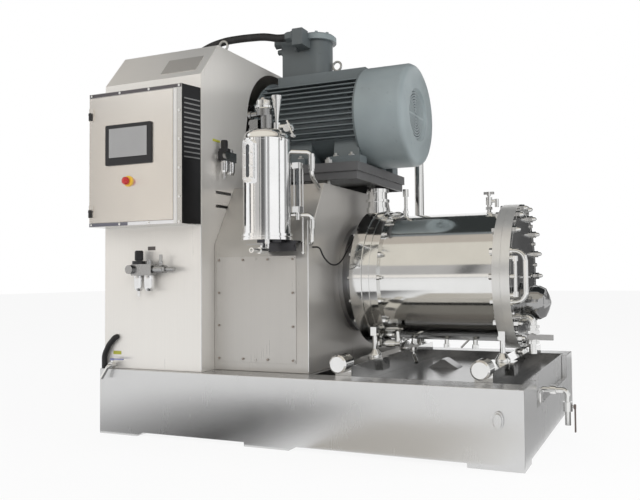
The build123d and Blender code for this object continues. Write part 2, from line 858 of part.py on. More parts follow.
def acorn_nut(x0, x1, angle, circle, across):
    y = shaft_y + circle * cos(angle)
    z = shaft_height + circle * sin(angle)
    length = x1 - x0
    nut = hex_x(across, x0, x0 + length * 0.5, y, z)
    dome = across * 0.42
    cap = turned_x(
        [(x0 + length * 0.5, 0), (x0 + length * 0.5, dome), (x0 + length * 0.85, dome * 0.75), (x1, dome * 0.3),
         (x1, 0)], y, z)
    return nut + cap


def around(circle, step):
    angle = radians(360 * step / nut_count)
    return shaft_y + circle * cos(angle), shaft_height + circle * sin(angle)


def barrel_nuts():
    nuts = []
    under = barrel_right - end_flange_thick
    jacket = barrel_left + jacket_flange_thick
    handle_steps = (handle_step - 1, handle_step, handle_step + 1)
    for step in range(nut_count):
        if step not in handle_steps:
            angle = radians(360 * step / nut_count)
            nuts.append(acorn_nut(cover_right, cover_right + 40, angle, nut_circle, 30))
            nuts.append(hex_x(16, cover_right, cover_right + 10, *around(nut_circle, step - 0.5)))
        nuts.append(hex_x(26, under - 16, under, *around(nut_circle, step)))
        y, z = around(jacket_nut_circle, step)
        nuts.append(hex_x(20, jacket, jacket + 14, y, z) + rod_x(7, jacket + 14, jacket + 26, y, z))
        nuts.append(hex_x(20, discharge_left - 14, discharge_left, y, z))
    return nuts


def cover_handle():
    x = cover_right
    y, z1 = around(nut_circle, handle_step - 1)
    _, z0 = around(nut_circle, handle_step + 1)
    reach = x + handle_reach
    path = [(x, y, z1), (reach, y, z1), (reach, y, z0), (x, y, z0)]
    handle = pipe(path, [handle_bend, handle_bend], 12)
    handle = handle + rod_x(20, x, x + 10, y, z1) + rod_x(20, x, x + 10, y, z0)
    return [handle]


def cover_water_pipe():
    x = cover_right
    y = shaft_y - column_offset
    low = shaft_height - 86
    high = shaft_height + 86
    off = x + 24
    column = pipe([(off, y, low), (off, y, high)], [], 9)
    for z in (low, high, shaft_height):
        column = column + rod_x(12, x, off, y, z)
    for z in (low + 4, high - 4):
        column = column + rod_z(14, z - 12, z + 12, off, y)
    crossbar = rod_y(7, y, shaft_y + 60, off, shaft_height)
    crossbar = crossbar + rod_x(12, x, off + 10, shaft_y + 60, shaft_height)
    return [column + crossbar]


def outlet_pipe():
    x = cover_right
    y = shaft_y + outlet_y
    z = shaft_height - outlet_drop
    turn_x = x + outlet_turn
    body = pipe([(x, y, z), (turn_x, y, z), (turn_x, y, z - 40)], [30], 21)
    body = body + rod_x(34, x, x + 12, y, z)
    body = body + rod_z(32, z - 46, z - 34, turn_x, y)
    body = body + rod_z(27, z - 110, z - 46, turn_x, y)
    body = body + hex_z(58, z - 74, z - 60, turn_x, y)
    body = body + rod_z(32, z - 122, z - 110, turn_x, y)
    body = body + rod_z(19, z - 170, z - 122, turn_x, y)
    body = body + rod_y(11, y - 38, y, turn_x, z - 88)
    body = body - rod_z(outlet_bore, z - 171, z - 125, turn_x, y)
    return [body]


def outlet_pivot():
    return cover_right + outlet_turn, shaft_y + outlet_y - 38, shaft_height - outlet_drop - 88


def outlet_lever():
    x, y, z = outlet_pivot()
    hub = rod_y(16, y - 12, y - seat_gap, x, z)
    arm = block(x, x + 40, y - 10, y - 2, z - 11, z + 11)
    grip = block(x + 36, x + 104, y - 14, y - 2, z - 13, z + 13)
    return [hub + arm + grip]


def barrel_legs():
    legs = []
    top = crossbeam_top
    for x, ring in ((leg_places[0], flange_radius - 6), (leg_places[1], flange_radius)):
        for side in (-1, 1):
            y = shaft_y + side * leg_y
            reach = shaft_height - sqrt(ring ** 2 - leg_y ** 2)
            leg = rod_z(leg_radius, top + 30, reach + 40, x, y)
            shoe = turned_z([(top, 0), (top, 36), (top + 10, 36), (top + 38, 17), (top + 38, 0)], x, y)
            lug = block(x - 16, x + 16, y - 20, y + 20, reach - 26, reach + 60)
            leg = leg + shoe + lug - rod_x(ring, x - 60, x + 60, shaft_y, shaft_height)
            legs.append(leg)
    return legs


def along_barrel(share):
    return barrel_left + share * barrel_length


def barrel_ports():
    port_x = (discharge_left + adapter_left) / 2 + 6
    y = shaft_y + port_y
    stem = rod_z(port_radius - 8, shaft_height, port_top - 6, port_x, y)
    stem = stem + rod_z(port_radius + 4, 1178, 1192, port_x, y)
    stem = stem + rod_z(port_radius, port_top - 22, port_top - 4, port_x, y)
    saddle = rod_z(port_radius, shaft_height, shaft_height + 372, port_x, y)
    port = (stem + saddle) - rod_x(flange_radius, port_x - 100, port_x + 100, shaft_y, shaft_height)
    pieces = [port.solids().sort_by(Axis.Z)[-1]]
    shell_top = shaft_height + barrel_radius
    for share, knob in ((sensor_share, False), (vent_share, True)):
        x = along_barrel(share)
        pod = rod_z(11, shell_top - 30, shell_top + 40, x, shaft_y)
        pod = pod + hex_z(30, shell_top + 14, shell_top + 28, x, shaft_y)
        if knob:
            pod = pod + rod_z(16, shell_top + 38, shell_top + 78, x, shaft_y)
            pod = pod + rod_x(8, x, x + 40, shaft_y, shell_top + 58)
            pod = pod + rod_z(10, shell_top + 26, shell_top + 68, x + 40, shaft_y)
            pod = pod + rod_z(6, shell_top + 78, shell_top + 84, x, shaft_y)
        else:
            pod = pod + rod_z(9, shell_top + 38, shell_top + 104, x, shaft_y)
            pod = pod + rod_z(15, shell_top + 104, shell_top + 144, x, shaft_y)
        pieces.append(pod - rod_x(barrel_radius, x - 60, x + 60, shaft_y, shaft_height))
    pieces.append(barrel_drain())
    for share in plug_shares:
        pieces.append(barrel_plug(along_barrel(share)))
    pieces.append(side_valve())
    pieces.append(slanted_stop())
    return pieces


def off_barrel(piece, x):
    return piece - rod_x(barrel_radius, x - 80, x + 80, shaft_y, shaft_height)


def barrel_plug(x):
    low = shaft_height - barrel_radius
    plug = rod_z(12, low - 26, low + 78, x, shaft_y - 60)
    plug = plug + hex_z(30, low - 36, low - 16, x, shaft_y - 60)
    return off_barrel(plug, x)


def slanted_stop():
    x = along_barrel(sum(plug_shares) / 2)
    low = shaft_height - barrel_radius
    return off_barrel(pipe([(x, shaft_y - 60, low - 34), (x + 46, shaft_y - 60, low + 12)], [], 5), x)


def barrel_drain():
    x, y, z = barrel_drain_pivot()
    y = y + 34
    low = shaft_height - barrel_radius
    body = rod_z(12, low - 8, low + 128, x, y) + rod_z(15, low - 18, low - 8, x, y)
    body = body + rod_z(19, low - 60, low - 18, x, y) + rod_y(6.5, y - 34, y, x, z)
    spout = pipe([(x, y, low - 50), (x, y, low - 78), (x + 26, y - 34, low - 114)], [14], 10)
    return off_barrel(body + spout, x)


def side_valve():
    x = along_barrel(valve_share)
    y = shaft_y - 165
    z = shaft_height - barrel_radius - 12
    stub = rod_z(11, z, z + 140, x, y)
    valve = rod_x(15, x - 88, x + 14, y, z) + rod_x(21, x - 62, x - 12, y, z)
    valve = valve + hex_x(34, x - 104, x - 88, y, z)
    return off_barrel(stub + valve, x)


def barrel_drain_pivot():
    return along_barrel(drain_share), shaft_y - 60 - 34, shaft_height - barrel_radius - 28


def barrel_drain_lever():
    x, y, z = barrel_drain_pivot()
    hub = rod_y(11, y - 12, y - seat_gap, x, z)
    bar = block(x - 40, x + 40, y - 10, y - 4, z - 7, z + 7)
    return [hub + bar]


def vent_lever():
    z = shaft_height + barrel_radius + 84
    x = along_barrel(vent_share)
    knob = rod_z(10, z + seat_gap, z + 22, x, shaft_y)
    arm = block(x - 26, x + 26, shaft_y - 7, shaft_y + 7, z + 8, z + 22)
    return [knob + arm]


def rear_post():
    x = leg_places[0]
    y = base_back - rear_post_gap
    seat = crossbeam_top
    foot = rod_z(38, seat, seat + 12, x, y)
    post = rod_z(28, seat, rear_post_top, x, y)
    cap = rod_z(32, rear_post_top, rear_post_top + 12, x, y)
    return [foot + post + cap]


def mill_shaft():
    x0 = belt_centre - pulley_width / 2 - 20
    seat_end = belt_centre + pulley_width / 2
    x1 = barrel_right - 70
    profile = [
        (x0, 0), (x0, pulley_seat_radius), (seat_end, pulley_seat_radius), (seat_end, shaft_radius),
        (barrel_left, shaft_radius), (barrel_left, pulley_seat_radius), (x1, pulley_seat_radius), (x1, 0)]
    return [turned_x(profile, shaft_y, shaft_height)]


def agitator():
    x0 = barrel_left
    x1 = barrel_right - 80
    rotor = ring_x(x0, x1, pulley_seat_radius, sleeve_radius, shaft_y, shaft_height)
    pitch = (x1 - x0) / disc_count
    for step in range(disc_count):
        centre = x0 + pitch * (step + 0.5)
        disc = ring_x(
            centre - disc_thick / 2, centre + disc_thick / 2, sleeve_radius - 1, disc_radius, shaft_y, shaft_height)
        for hole in range(disc_holes):
            angle = radians(360 * hole / disc_holes)
            y = shaft_y + 165 * cos(angle)
            z = shaft_height + 165 * sin(angle)
            disc = disc - rod_x(34, centre - disc_thick, centre + disc_thick, y, z)
        rotor = rotor + disc
    return [rotor]


def grooved_pulley(radius, bore, z):
    x0 = belt_centre - pulley_width / 2
    x1 = belt_centre + pulley_width / 2
    profile = [(x0, bore), (x0, radius)]
    first = belt_centre - groove_pitch * (groove_count - 1) / 2
    for step in range(groove_count):
        centre = first + groove_pitch * step
        profile.append((centre - 8.5, radius))
        profile.append((centre - 6.8, radius - groove_depth))
        profile.append((centre + 6.8, radius - groove_depth))
        profile.append((centre + 8.5, radius))
    profile.append((x1, radius))
    profile.append((x1, bore))
    return turned_x(profile, shaft_y, z)


def belt_loop(top_radius, low_radius, x0, x1):
    gap = motor_z - shaft_height
    lean = asin((low_radius - top_radius) / gap)
    side = cos(lean)
    rise = sin(lean)
    top_right = (x0, shaft_y + top_radius * side, motor_z + top_radius * rise)
    top_left = (x0, shaft_y - top_radius * side, motor_z + top_radius * rise)
    low_right = (x0, shaft_y + low_radius * side, shaft_height + low_radius * rise)
    low_left = (x0, shaft_y - low_radius * side, shaft_height + low_radius * rise)
    edges = [
        ThreePointArc(top_left, (x0, shaft_y, motor_z + top_radius), top_right),
        Line(top_right, low_right),
        ThreePointArc(low_right, (x0, shaft_y, shaft_height - low_radius), low_left),
        Line(low_left, top_left)]
    return extrude(make_face(edges), amount=x1 - x0, dir=(1, 0, 0))


def v_belts():
    belts = []
    first = belt_centre - groove_pitch * (groove_count - 1) / 2
    for step in range(groove_count):
        x = first + groove_pitch * step
        seat = groove_depth - seat_gap
        inner = belt_loop(drive_pulley_radius - seat, driven_pulley_radius - seat, x - belt_width / 2 - 1,
                          x + belt_width / 2 + 1)
        outer = belt_loop(drive_pulley_radius - seat + belt_thick, driven_pulley_radius - seat + belt_thick,
                          x - belt_width / 2, x + belt_width / 2)
        belts.append(outer - inner)
    return belts


def motor_shaft():
    x0 = shoulder_x - motor_shaft_reach
    x1 = motor_body_right + 110
    return [rod_x(motor_shaft_radius, x0, x1, shaft_y, motor_z)]


def cooling_fan():
    x0 = motor_body_right + 30
    x1 = x0 + 78
    hub = ring_x(x0, x1, motor_shaft_radius, 66, shaft_y, motor_z)
    fan = hub + ring_x(x1 - 8, x1, 60, 225, shaft_y, motor_z)
    for step in range(8):
        blade = Pos(x0 + 35, shaft_y, motor_z) * Rot(45 * step, 0, 0) * Pos(0, 0, 142) * Box(70, 6, 166)
        fan = fan + blade
    return [fan]


# Seal fluid tank

def tank_centre():
    return at_x(tank_x), at_y(tank_y)


def tank_top():
    return tank_bottom + tank_height


def window_plate(width, height, corner, z_top, y0, y1):
    x, y = tank_centre()
    outline = RectangleRounded(width, height, corner)
    plate = Pos(x, y1, z_top - height / 2) * Rot(90, 0, 0) * extrude(outline, amount=y1 - y0)
    return turned_window(plate)


def turned_window(piece):
    x, y = tank_centre()
    return Pos(x, y, 0) * Rot(0, 0, window_turn) * Pos(-x, -y, 0) * piece


def window_face():
    return at_y(tank_y) - tank_radius - window_reach


def glass_top():
    return tank_top() - window_top_gap - (window_height - window_glass_height) / 2


def seal_tank():
    x, y = tank_centre()
    top = tank_top()
    shell = rod_z(tank_radius, tank_bottom, top, x, y)
    for z in (tank_bottom, tank_bottom + tank_flange_thick - 12):
        shell = shell + rod_z(tank_flange_radius, z, z + 12, x, y)
    face = window_face()
    window_top = top - window_top_gap
    shell = shell + window_plate(
        window_width, window_height, window_corner, window_top, face, y - tank_radius + 30)
    shell = shell - rod_z(tank_radius - tank_wall, tank_bottom + 8, top + 1, x, y)
    shell = shell - window_plate(
        window_glass_width, window_glass_height, window_glass_width / 2 - 0.1, glass_top(), face - 1, y)
    for row in range(4):
        z = window_top - 10 - row * (window_height - 30) / 3
        for side in (-1, 1):
            shell = shell + turned_window(rod_y(5.5, face - 7, face + 1, x + side * 19, z))
    return [shell]


def seal_tank_lid():
    x, y = tank_centre()
    z = tank_top()
    r = lid_radius
    profile = [
        (z, 0), (z, r), (z + 10, r), (z + 14, r - 4), (z + 34, r - 8), (z + 47, r - 17),
        (z + lid_thick, r - 28), (z + lid_thick, 0)]
    return [turned_z(profile, x, y)]


def tank_glasses():
    face = window_face()
    width = window_glass_width - 0.2
    pane = window_plate(
        width, window_glass_height - 0.2, width / 2 - 0.1, glass_top() - 0.1, face + 4, face + 10)
    tube = rod_z(9, 1112, 1290, at_x(gauge_x), at_y(gauge_y))
    return [pane, tube]


def tank_pump():
    x, y = tank_centre()
    z = tank_top() + lid_thick
    neck = rod_z(30, z, z + 70, x + 12, y - 22)
    body = turned_z(
        [(z + 66, 0), (z + 66, 36), (z + 98, 36), (z + 102, 41), (z + 114, 41), (z + 118, 34), (z + 138, 34),
         (z + 150, 24), (z + 150, 0)], x, y - 25)
    arm = rod_x(13, x - 80, x, y - 25, z + 79) + rod_x(17, x - 80, x - 66, y - 25, z + 79)
    return neck + body + arm


def tank_funnel():
    x, y = tank_centre()
    z = tank_top() + lid_thick
    funnel_x = x + 59
    funnel_y = y - 10
    funnel = turned_z(
        [(z, 0), (z, 17), (z + 33, 17), (z + 33, 9), (z + 50, 9), (z + 152, 24), (z + 160, 24), (z + 160, 22),
         (z + 154, 21.5), (z + 54, 6.5), (z + 20, 6.5), (z + 20, 0)], funnel_x, funnel_y)
    branch = rod_x(9, funnel_x, x + 112, funnel_y, z + 16)
    branch = branch - rod_z(16, z - 1, z + 34, funnel_x, funnel_y)
    valve = rod_y(18, funnel_y - 18, funnel_y + 18, x + 120, z + 3)
    valve = valve + rod_y(8, funnel_y - 30, funnel_y, x + 136, z + 14)
    valve = valve + rod_y(12, funnel_y - 6, funnel_y + 6, x + 132, z + 8)
    handle = pipe([(x + 127, funnel_y - 26, z + 34), (x + 159, funnel_y - 26, z - 39)], [], 5)
    handle = handle + rod_y(9, funnel_y - 34, funnel_y - 18, x + 158, z - 37)
    return funnel + branch + valve + handle


def tank_bracket():
    x, y = tank_centre()
    wall = pedestal_front
    top = tank_bottom
    shelf = block(x - 67, x + 112, wall - 53, wall, top - 8, top)
    shelf = shelf + block(x - 67, x + 63, y + 18, wall, top - 8, top)
    front = block(x - 67, x + 112, wall - 53, wall - 47, top - 49, top)
    web = block(x - 67, x - 61, wall - 53, wall, top - 49, top)
    screw = rod_y(7, wall - 57, wall - 53, x + 99, top - 24)
    return shelf + front + web + screw


def tank_fittings():
    x, y = tank_centre()
    z = tank_top() + lid_thick
    block_under = block(x - 66, x - 22, y - 46, y - 4, z, z + 52)
    knob_y = y - 20
    knob = rod_z(9, z, z + 16, x - 76, knob_y) + rod_z(4, z + 16, z + 34, x - 76, knob_y)
    knob = knob + rod_z(9, z + 34, z + 50, x - 76, knob_y)
    return [tank_pump(), tank_funnel(), knob, block_under, tank_bracket()]


def tank_pipework():
    x, y = tank_centre()
    right_x = pedestal_right + 18
    right_y = at_y(150)
    pieces = []
    upper_z = upper_pipe_z
    lower_z = lower_pipe_z
    slope_y = pedestal_front + pedestal_slope_run * (1215 - pedestal_shoulder) / (pedestal_top - pedestal_shoulder)
    upper = pipe(
        [(x + 40, y + 40, upper_z), (right_x, right_y, upper_z), (right_x, right_y, 1262),
         (right_x - 40, slope_y + 20, 1215)], [26, 34], 11)
    upper = upper + rod_z(17, 1296, 1352, right_x, right_y)
    upper = upper + rod_z(14, 1352, 1366, right_x, right_y) + rod_z(14, 1282, 1296, right_x, right_y)
    lower = pipe(
        [(x + 40, y + 40, lower_z), (right_x, right_y, lower_z), (right_x, right_y, 948),
         (pedestal_right - 20, right_y + 20, 930)], [22, 16], 11)
    lower = lower + rod_z(15, 1012, 1052, right_x, right_y)
    gx = at_x(gauge_x)
    gy = at_y(gauge_y)
    gauge = block(gx - 20, gx + 20, gy - 16, gy + 16, 1290, 1318)
    gauge = gauge + block(gx - 20, gx + 20, gy - 16, gy + 16, 1084, 1112)
    for side in (-1, 1):
        gauge = gauge + rod_z(4, 1110, 1292, gx + side * 15, gy - 6)
    gauge = gauge + rod_z(9, 1050, 1086, gx, gy)
    gauge = gauge + rod_y(8, gy, gy + 42, gx, lower_z)
    link_top = pipe([(gx, gy, gauge_link_z), (x + 30, y + 38, gauge_link_z)], [], 8)
    tank_wall_tool = rod_z(tank_radius, tank_bottom, tank_bottom + tank_height, x, y)
    outer_wall_tool = prism_x(pedestal_profile(0), hood_right, pedestal_right)
    pieces.append((upper - tank_wall_tool) - outer_wall_tool)
    pieces.append(((lower + gauge + link_top) - tank_wall_tool) - outer_wall_tool)
    pieces.append(tank_drain())
    stem_x = pedestal_right - 24
    stem = rod_z(5, pedestal_shoulder - 60, 1300, stem_x, pedestal_front - 6)
    for z in (pedestal_shoulder - 50, pedestal_shoulder - 8):
        stem = stem + block(stem_x - 9, stem_x + 9, pedestal_front - 6, pedestal_front, z - 4, z + 4)
    pieces.append(stem)
    return pieces


def tank_drain():
    x, y = tank_centre()
    z = tank_bottom - tank_drain_drop
    valve_y = y - 54
    drain = pipe([(x, y, tank_bottom), (x, y, z), (x, y - 140, z)], [20], 10)
    drain = drain + rod_z(13, tank_bottom - 14, tank_bottom, x, y)
    drain = drain + rod_y(15, valve_y - 20, valve_y + 20, x, z) + rod_z(6, z, z + 24, x, valve_y)
    drain = drain + rod_y(12, y - 140, y - 132, x, z)
    return drain - rod_y(7, y - 141, y - 118, x, z)


def tank_drain_pivot():
    x, y = tank_centre()
    return x, y - 54, tank_bottom - tank_drain_drop + 24


def tank_drain_lever():
    x, y, z = tank_drain_pivot()
    hub = rod_z(9, z + seat_gap, z + 11, x, y)
    arm = block(x - 80, x, y - 6, y + 6, z + 4, z + 9)
    return [hub + arm]


# Air regulators on the hood

def regulator(size):
    depth = -set_depth * size
    body = block(-30 * size, 92 * size, -66 * size, -18 * size, -34 * size, 22 * size)
    body = body + block(-22 * size, 70 * size, -18 * size, 0, -20 * size, 8 * size)
    body = body + rod_z(33 * size, 22 * size, 38 * size, 0, depth)
    body = body + rod_z(14 * size, 38 * size, 40 * size, 0, depth)
    body = body + rod_z(15 * size, 22 * size, 38 * size, 64 * size, depth)
    body = body + rod_z(11 * size, 38 * size, 44 * size, 64 * size, depth)
    body = body + rod_y(22 * size, -84 * size, -65 * size, -30 * size, -4 * size)
    body = body + rod_x(14 * size, 92 * size, (valve_start + 10) * size, depth, -4 * size)
    bowls = [regulator_bowl(size, 0, 24), regulator_bowl(size, 64, 26)]
    bowls[0] = bowls[0] + rod_z(7 * size, -138 * size, -108 * size, 0, depth)
    return body, bowls


def regulator_bowl(size, x, radius):
    profile = [
        (-34, 0), (-34, radius - 1), (-46, radius), (-98, radius - 2), (-111, radius - 10), (-111, 0)]
    return turned_z([(z * size, r * size) for z, r in profile], x * size, -set_depth * size)


def regulator_knob(size):
    depth = -set_depth * size
    low = 40 * size + seat_gap
    knob = turned_z(
        [(low, 0), (low, 20.5 * size), (84 * size, 20.5 * size), (90 * size, 17 * size), (90 * size, 0)], 0, depth)
    for rib in range(16):
        angle = radians(22.5 * rib)
        knob = knob - rod_z(
            1.8 * size, 46 * size, 91 * size, 20.8 * size * cos(angle), depth + 20.8 * size * sin(angle))
    return knob


front_place = Pos(at_x(front_set_x), hood_front, front_set_z)
side_place = Pos(hood_right, at_y(side_set_y), side_set_z) * Rot(0, 0, 90)


def air_valve_parts():
    x0 = at_x(front_set_x) + valve_start + 10
    y = hood_front - set_depth
    z = front_set_z - 4
    body = rod_x(19, x0, x0 + 52, y, z) + hex_x(34, x0 + 52, x0 + 66, y, z)
    body = body + rod_x(11, x0 + 66, x0 + 114, y, z)
    body = body + rod_z(8, z, z + 28, at_x(front_set_x) + valve_start + valve_stem, y)
    return body


def air_valve_pivot():
    return at_x(front_set_x) + valve_start + valve_stem, hood_front - set_depth, front_set_z + 24


def regulator_bodies():
    front = front_place * regulator(front_size)[0]
    side = side_place * regulator(side_size)[0]
    return [front + air_valve_parts(), side]


def regulator_bowls():
    front = [front_place * bowl for bowl in regulator(front_size)[1]]
    side = [side_place * bowl for bowl in regulator(side_size)[1]]
    return front + side


def air_inlet_lever():
    x, y, z = air_valve_pivot()
    hub = rod_z(11, z + seat_gap, z + 12, x, y)
    arm = block(x - 8, x + 8, y - 3, y + 3, z + 4, z + 44)
    return [hub + arm]


# Control cabinet

def cabinet_shell():
    x0 = base_left
    x1 = cabinet_right
    shell = block(x0, x1, cabinet_face, hood_front, cabinet_bottom, cabinet_top)
    door_room = block(
        x0 - 1, x0 + door_width + 2, cabinet_face - 1, cabinet_face + door_thick,
        cabinet_bottom + door_margin, cabinet_top - door_margin)
    inside = block(
        x0 + cabinet_wall, x1 - cabinet_wall, cabinet_face + door_thick + cabinet_wall,
        hood_front - cabinet_wall, cabinet_bottom + cabinet_wall, cabinet_top - cabinet_wall)
    mouth = block(
        x0 + 18, x0 + door_width - 18, cabinet_face - 1, cabinet_face + door_thick + cabinet_wall + 1,
        cabinet_bottom + door_margin + 18, cabinet_top - door_margin - 18)
    shell = shell - door_room - inside - mouth
    for row in range(12):
        z = cabinet_top - 110 - row * 26
        shell = shell - block(x1 - cabinet_wall - 1, x1 + 1, cabinet_face + 36, hood_front - 14, z, z + 9)
    return [shell]


def cabinet_door():
    x0 = base_left
    x1 = base_left + door_width
    z0 = cabinet_bottom + door_margin + 1
    z1 = cabinet_top - door_margin - 1
    back = cabinet_face + door_thick - seat_gap
    door = block(x0, x1, cabinet_face, back, z0, z1)
    hollow = block(x0 + door_skin, x1 - door_skin, cabinet_face + door_skin, back + 1, z0 + door_skin, z1 - door_skin)
    door = door - hollow
    stem_x = at_x(stop_x)
    door = door - rod_y(11 + running_gap, cabinet_face - 1, cabinet_face + door_skin + 1, stem_x, stop_z)
    for z in latch_heights:
        door = door + block(x0 + 2, x0 + 30, cabinet_face - 5, cabinet_face, z - 32, z + 32)
        door = door + rod_y(5, cabinet_face - 8, cabinet_face - 4, x0 + latch_inset, z)
    return [door]


def touch_screen():
    x0 = at_x(screen_left)
    x1 = x0 + screen_width
    z0 = screen_bottom
    z1 = z0 + screen_height
    bezel = block(x0, x1, cabinet_face - 9, cabinet_face, z0, z1)
    bezel = fillet(bezel.edges().filter_by(Axis.Y), 8)
    glass = block(x0 + 21, x0 + 253, cabinet_face - 10, cabinet_face - 7, z0 + 35, z1 - 25)
    return [bezel - glass]


def stop_collar():
    x = at_x(stop_x)
    collar = turned_y(
        [(cabinet_face, 11 + running_gap), (cabinet_face, 27), (cabinet_face - 6, 27), (cabinet_face - 9, 23),
         (cabinet_face - 9, 11 + running_gap)], x, stop_z)
    return [collar]


def stop_button():
    x = at_x(stop_x)
    under = cabinet_face - 9 - stop_travel - 2
    profile = [
        (cabinet_face + 14, 0), (cabinet_face + 14, 11), (under, 11), (under, 19), (under - 6, 20),
        (under - 14, 18), (under - 19, 12), (under - 21, 0)]
    return [turned_y(profile, x, stop_z)]


def door_latch(height):
    x = base_left + latch_inset
    front = cabinet_face - 8 - seat_gap
    hub = rod_y(9, front - 6, front, x, height)
    arm = block(x - 7, x + 7, front - 6, front, height - 30, height + 9)
    return hub + arm


# Pipework on the base

def conduit():
    x = at_x(conduit_x)
    z = conduit_z
    y = base_front + 16.5
    points = [
        (x, hood_front, z), (x, y, z), (x - 40, y, z - 40), (at_x(15), y, 395), (at_x(15), y, base_height)]
    bends = [13.6, 60, 75]
    tube = pipe(points, bends, conduit_radius)
    report_tube("conduit", tube, points, bends, conduit_radius)
    return [tube]


def drain_pipework():
    x = at_x(water_x)
    z = water_z
    y = base_front - 22
    inlet = pipe([(x, hood_front, z), (x, y, z), (x - 34, y - 12, z - 64)], [15], 9)
    inlet = inlet + rod_y(15, y + 12, y + 38, x, z)
    inlet = inlet + rod_z(6, z, z + 24, x, y + 25)
    drain_x = base_right - 14
    drain_y = at_y(tray_drain_y)
    out_x = drain_x + tray_drain_reach
    top = tray_drain_z
    drain = pipe(
        [(drain_x, drain_y, notch_floor), (drain_x, drain_y, top), (out_x, drain_y, top),
         (out_x, drain_y, 110)], [24, 24], 13)
    drain = drain + rod_x(20, drain_x + 48, drain_x + 74, drain_y, top)
    drain = drain + rod_z(21, 172, 214, out_x, drain_y)
    drain = drain + rod_x(6, out_x, out_x + 26, drain_y, 193)
    drain = drain - rod_z(9, 109, 150, out_x, drain_y)
    return [inlet, drain]


def water_lever():
    x = at_x(water_x)
    y = base_front - 22 + 25
    z = water_z + 24
    hub = rod_z(10, z + seat_gap, z + 10, x, y)
    arm = block(x, x + 70, y - 7, y + 7, z + 4, z + 9)
    return [hub + arm]


def tray_drain_lever():
    x = base_right - 14 + tray_drain_reach + 26
    y = at_y(tray_drain_y)
    z = 193.0
    hub = rod_x(11, x + seat_gap, x + 10, y, z)
    arm = block(x + 3, x + 9, y - 9, y + 9, z - 112, z)
    return [hub + arm]


def sensor_lead():
    x0 = pedestal_right
    x1 = pedestal_right + housing_flange_thick
    route = [
        (x0, 190, 925), (x0 + 36, 190, 925), (x0 + 40, 222, 880), (x0 + 42, 285, 845),
        (x0 + 42, 360, 838), (x0 + 42, 430, 862), (x0 + 44, 490, 915), (x0 + 52, 545, 970),
        (x0 + 56, 590, 1000), (x1, 590, 1000)]
    points = [(x, at_y(y), z) for x, y, z in route]
    bends = run_bends(points)
    lead = pipe(points, bends, lead_radius)
    report_tube("sensor lead", lead, points, bends, lead_radius)
    return [lead]


nodes = {
    "base_frame": base_frame,
    "drip_tray": drip_tray,
    "barrel_crossbeams": barrel_crossbeams,
    "belt_guard_hood": belt_guard_hood,
    "access_panels": access_panels,
    "pedestal": pedestal,
    "motor_platform": motor_platform,
    "motor_fasteners": motor_fasteners,
    "motor_frame": motor_frame,
    "motor_end_shield": motor_end_shield,
    "motor_fan_cover": motor_fan_cover,
    "junction_box": junction_box,
    "junction_box_cover": junction_box_cover,
    "cable_fittings": cable_fittings,
    "motor_cable": motor_cable,
    "bearing_housing": bearing_housing,
    "bearings_and_seal": bearings_and_seal,
    "end_flanges": end_flanges,
    "barrel_jacket": barrel_jacket,
    "barrel_liner": barrel_liner,
    "end_cover": end_cover,
    "barrel_nuts": barrel_nuts,
    "end_cover_fittings": lambda: cover_handle() + cover_water_pipe(),
    "outlet_pipe": outlet_pipe,
    "outlet_lever": outlet_lever,
    "barrel_legs": barrel_legs,
    "barrel_ports": barrel_ports,
    "barrel_drain_lever": barrel_drain_lever,
    "vent_lever": vent_lever,
    "rear_post": rear_post,
    "mill_shaft": mill_shaft,
    "agitator": agitator,
    "driven_pulley": lambda: [grooved_pulley(driven_pulley_radius, pulley_seat_radius, shaft_height)],
    "drive_pulley": lambda: [grooved_pulley(drive_pulley_radius, motor_shaft_radius, motor_z)],
    "v_belts": v_belts,
    "motor_shaft": motor_shaft,
    "cooling_fan": cooling_fan,
    "seal_tank": seal_tank,
    "seal_tank_lid": seal_tank_lid,
    "tank_glasses": tank_glasses,
    "tank_fittings": tank_fittings,
    "tank_pipework": tank_pipework,
    "tank_drain_lever": tank_drain_lever,
    "regulator_bodies": regulator_bodies,
    "regulator_bowls": regulator_bowls,
    "front_regulator_knob": lambda: [front_place * regulator_knob(front_size)],
    "side_regulator_knob": lambda: [side_place * regulator_knob(side_size)],
    "air_inlet_lever": air_inlet_lever,
    "cabinet_shell": cabinet_shell,
    "cabinet_door": cabinet_door,
    "touch_screen": touch_screen,
    "stop_collar": stop_collar,
    "stop_button": stop_button,
    "upper_latch": lambda: [door_latch(latch_heights[0])],
    "lower_latch": lambda: [door_latch(latch_heights[1])],
    "conduit": conduit,
    "drain_pipework": drain_pipework,
    "water_lever": water_lever,
    "tray_drain_lever": tray_drain_lever,
    "sensor_lead": sensor_lead,
}

for name, make in nodes.items():
    save(name, make())
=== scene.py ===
import json
from math import cos, pi, radians, sin

import bmesh
import bpy
from mathutils import Matrix, Vector


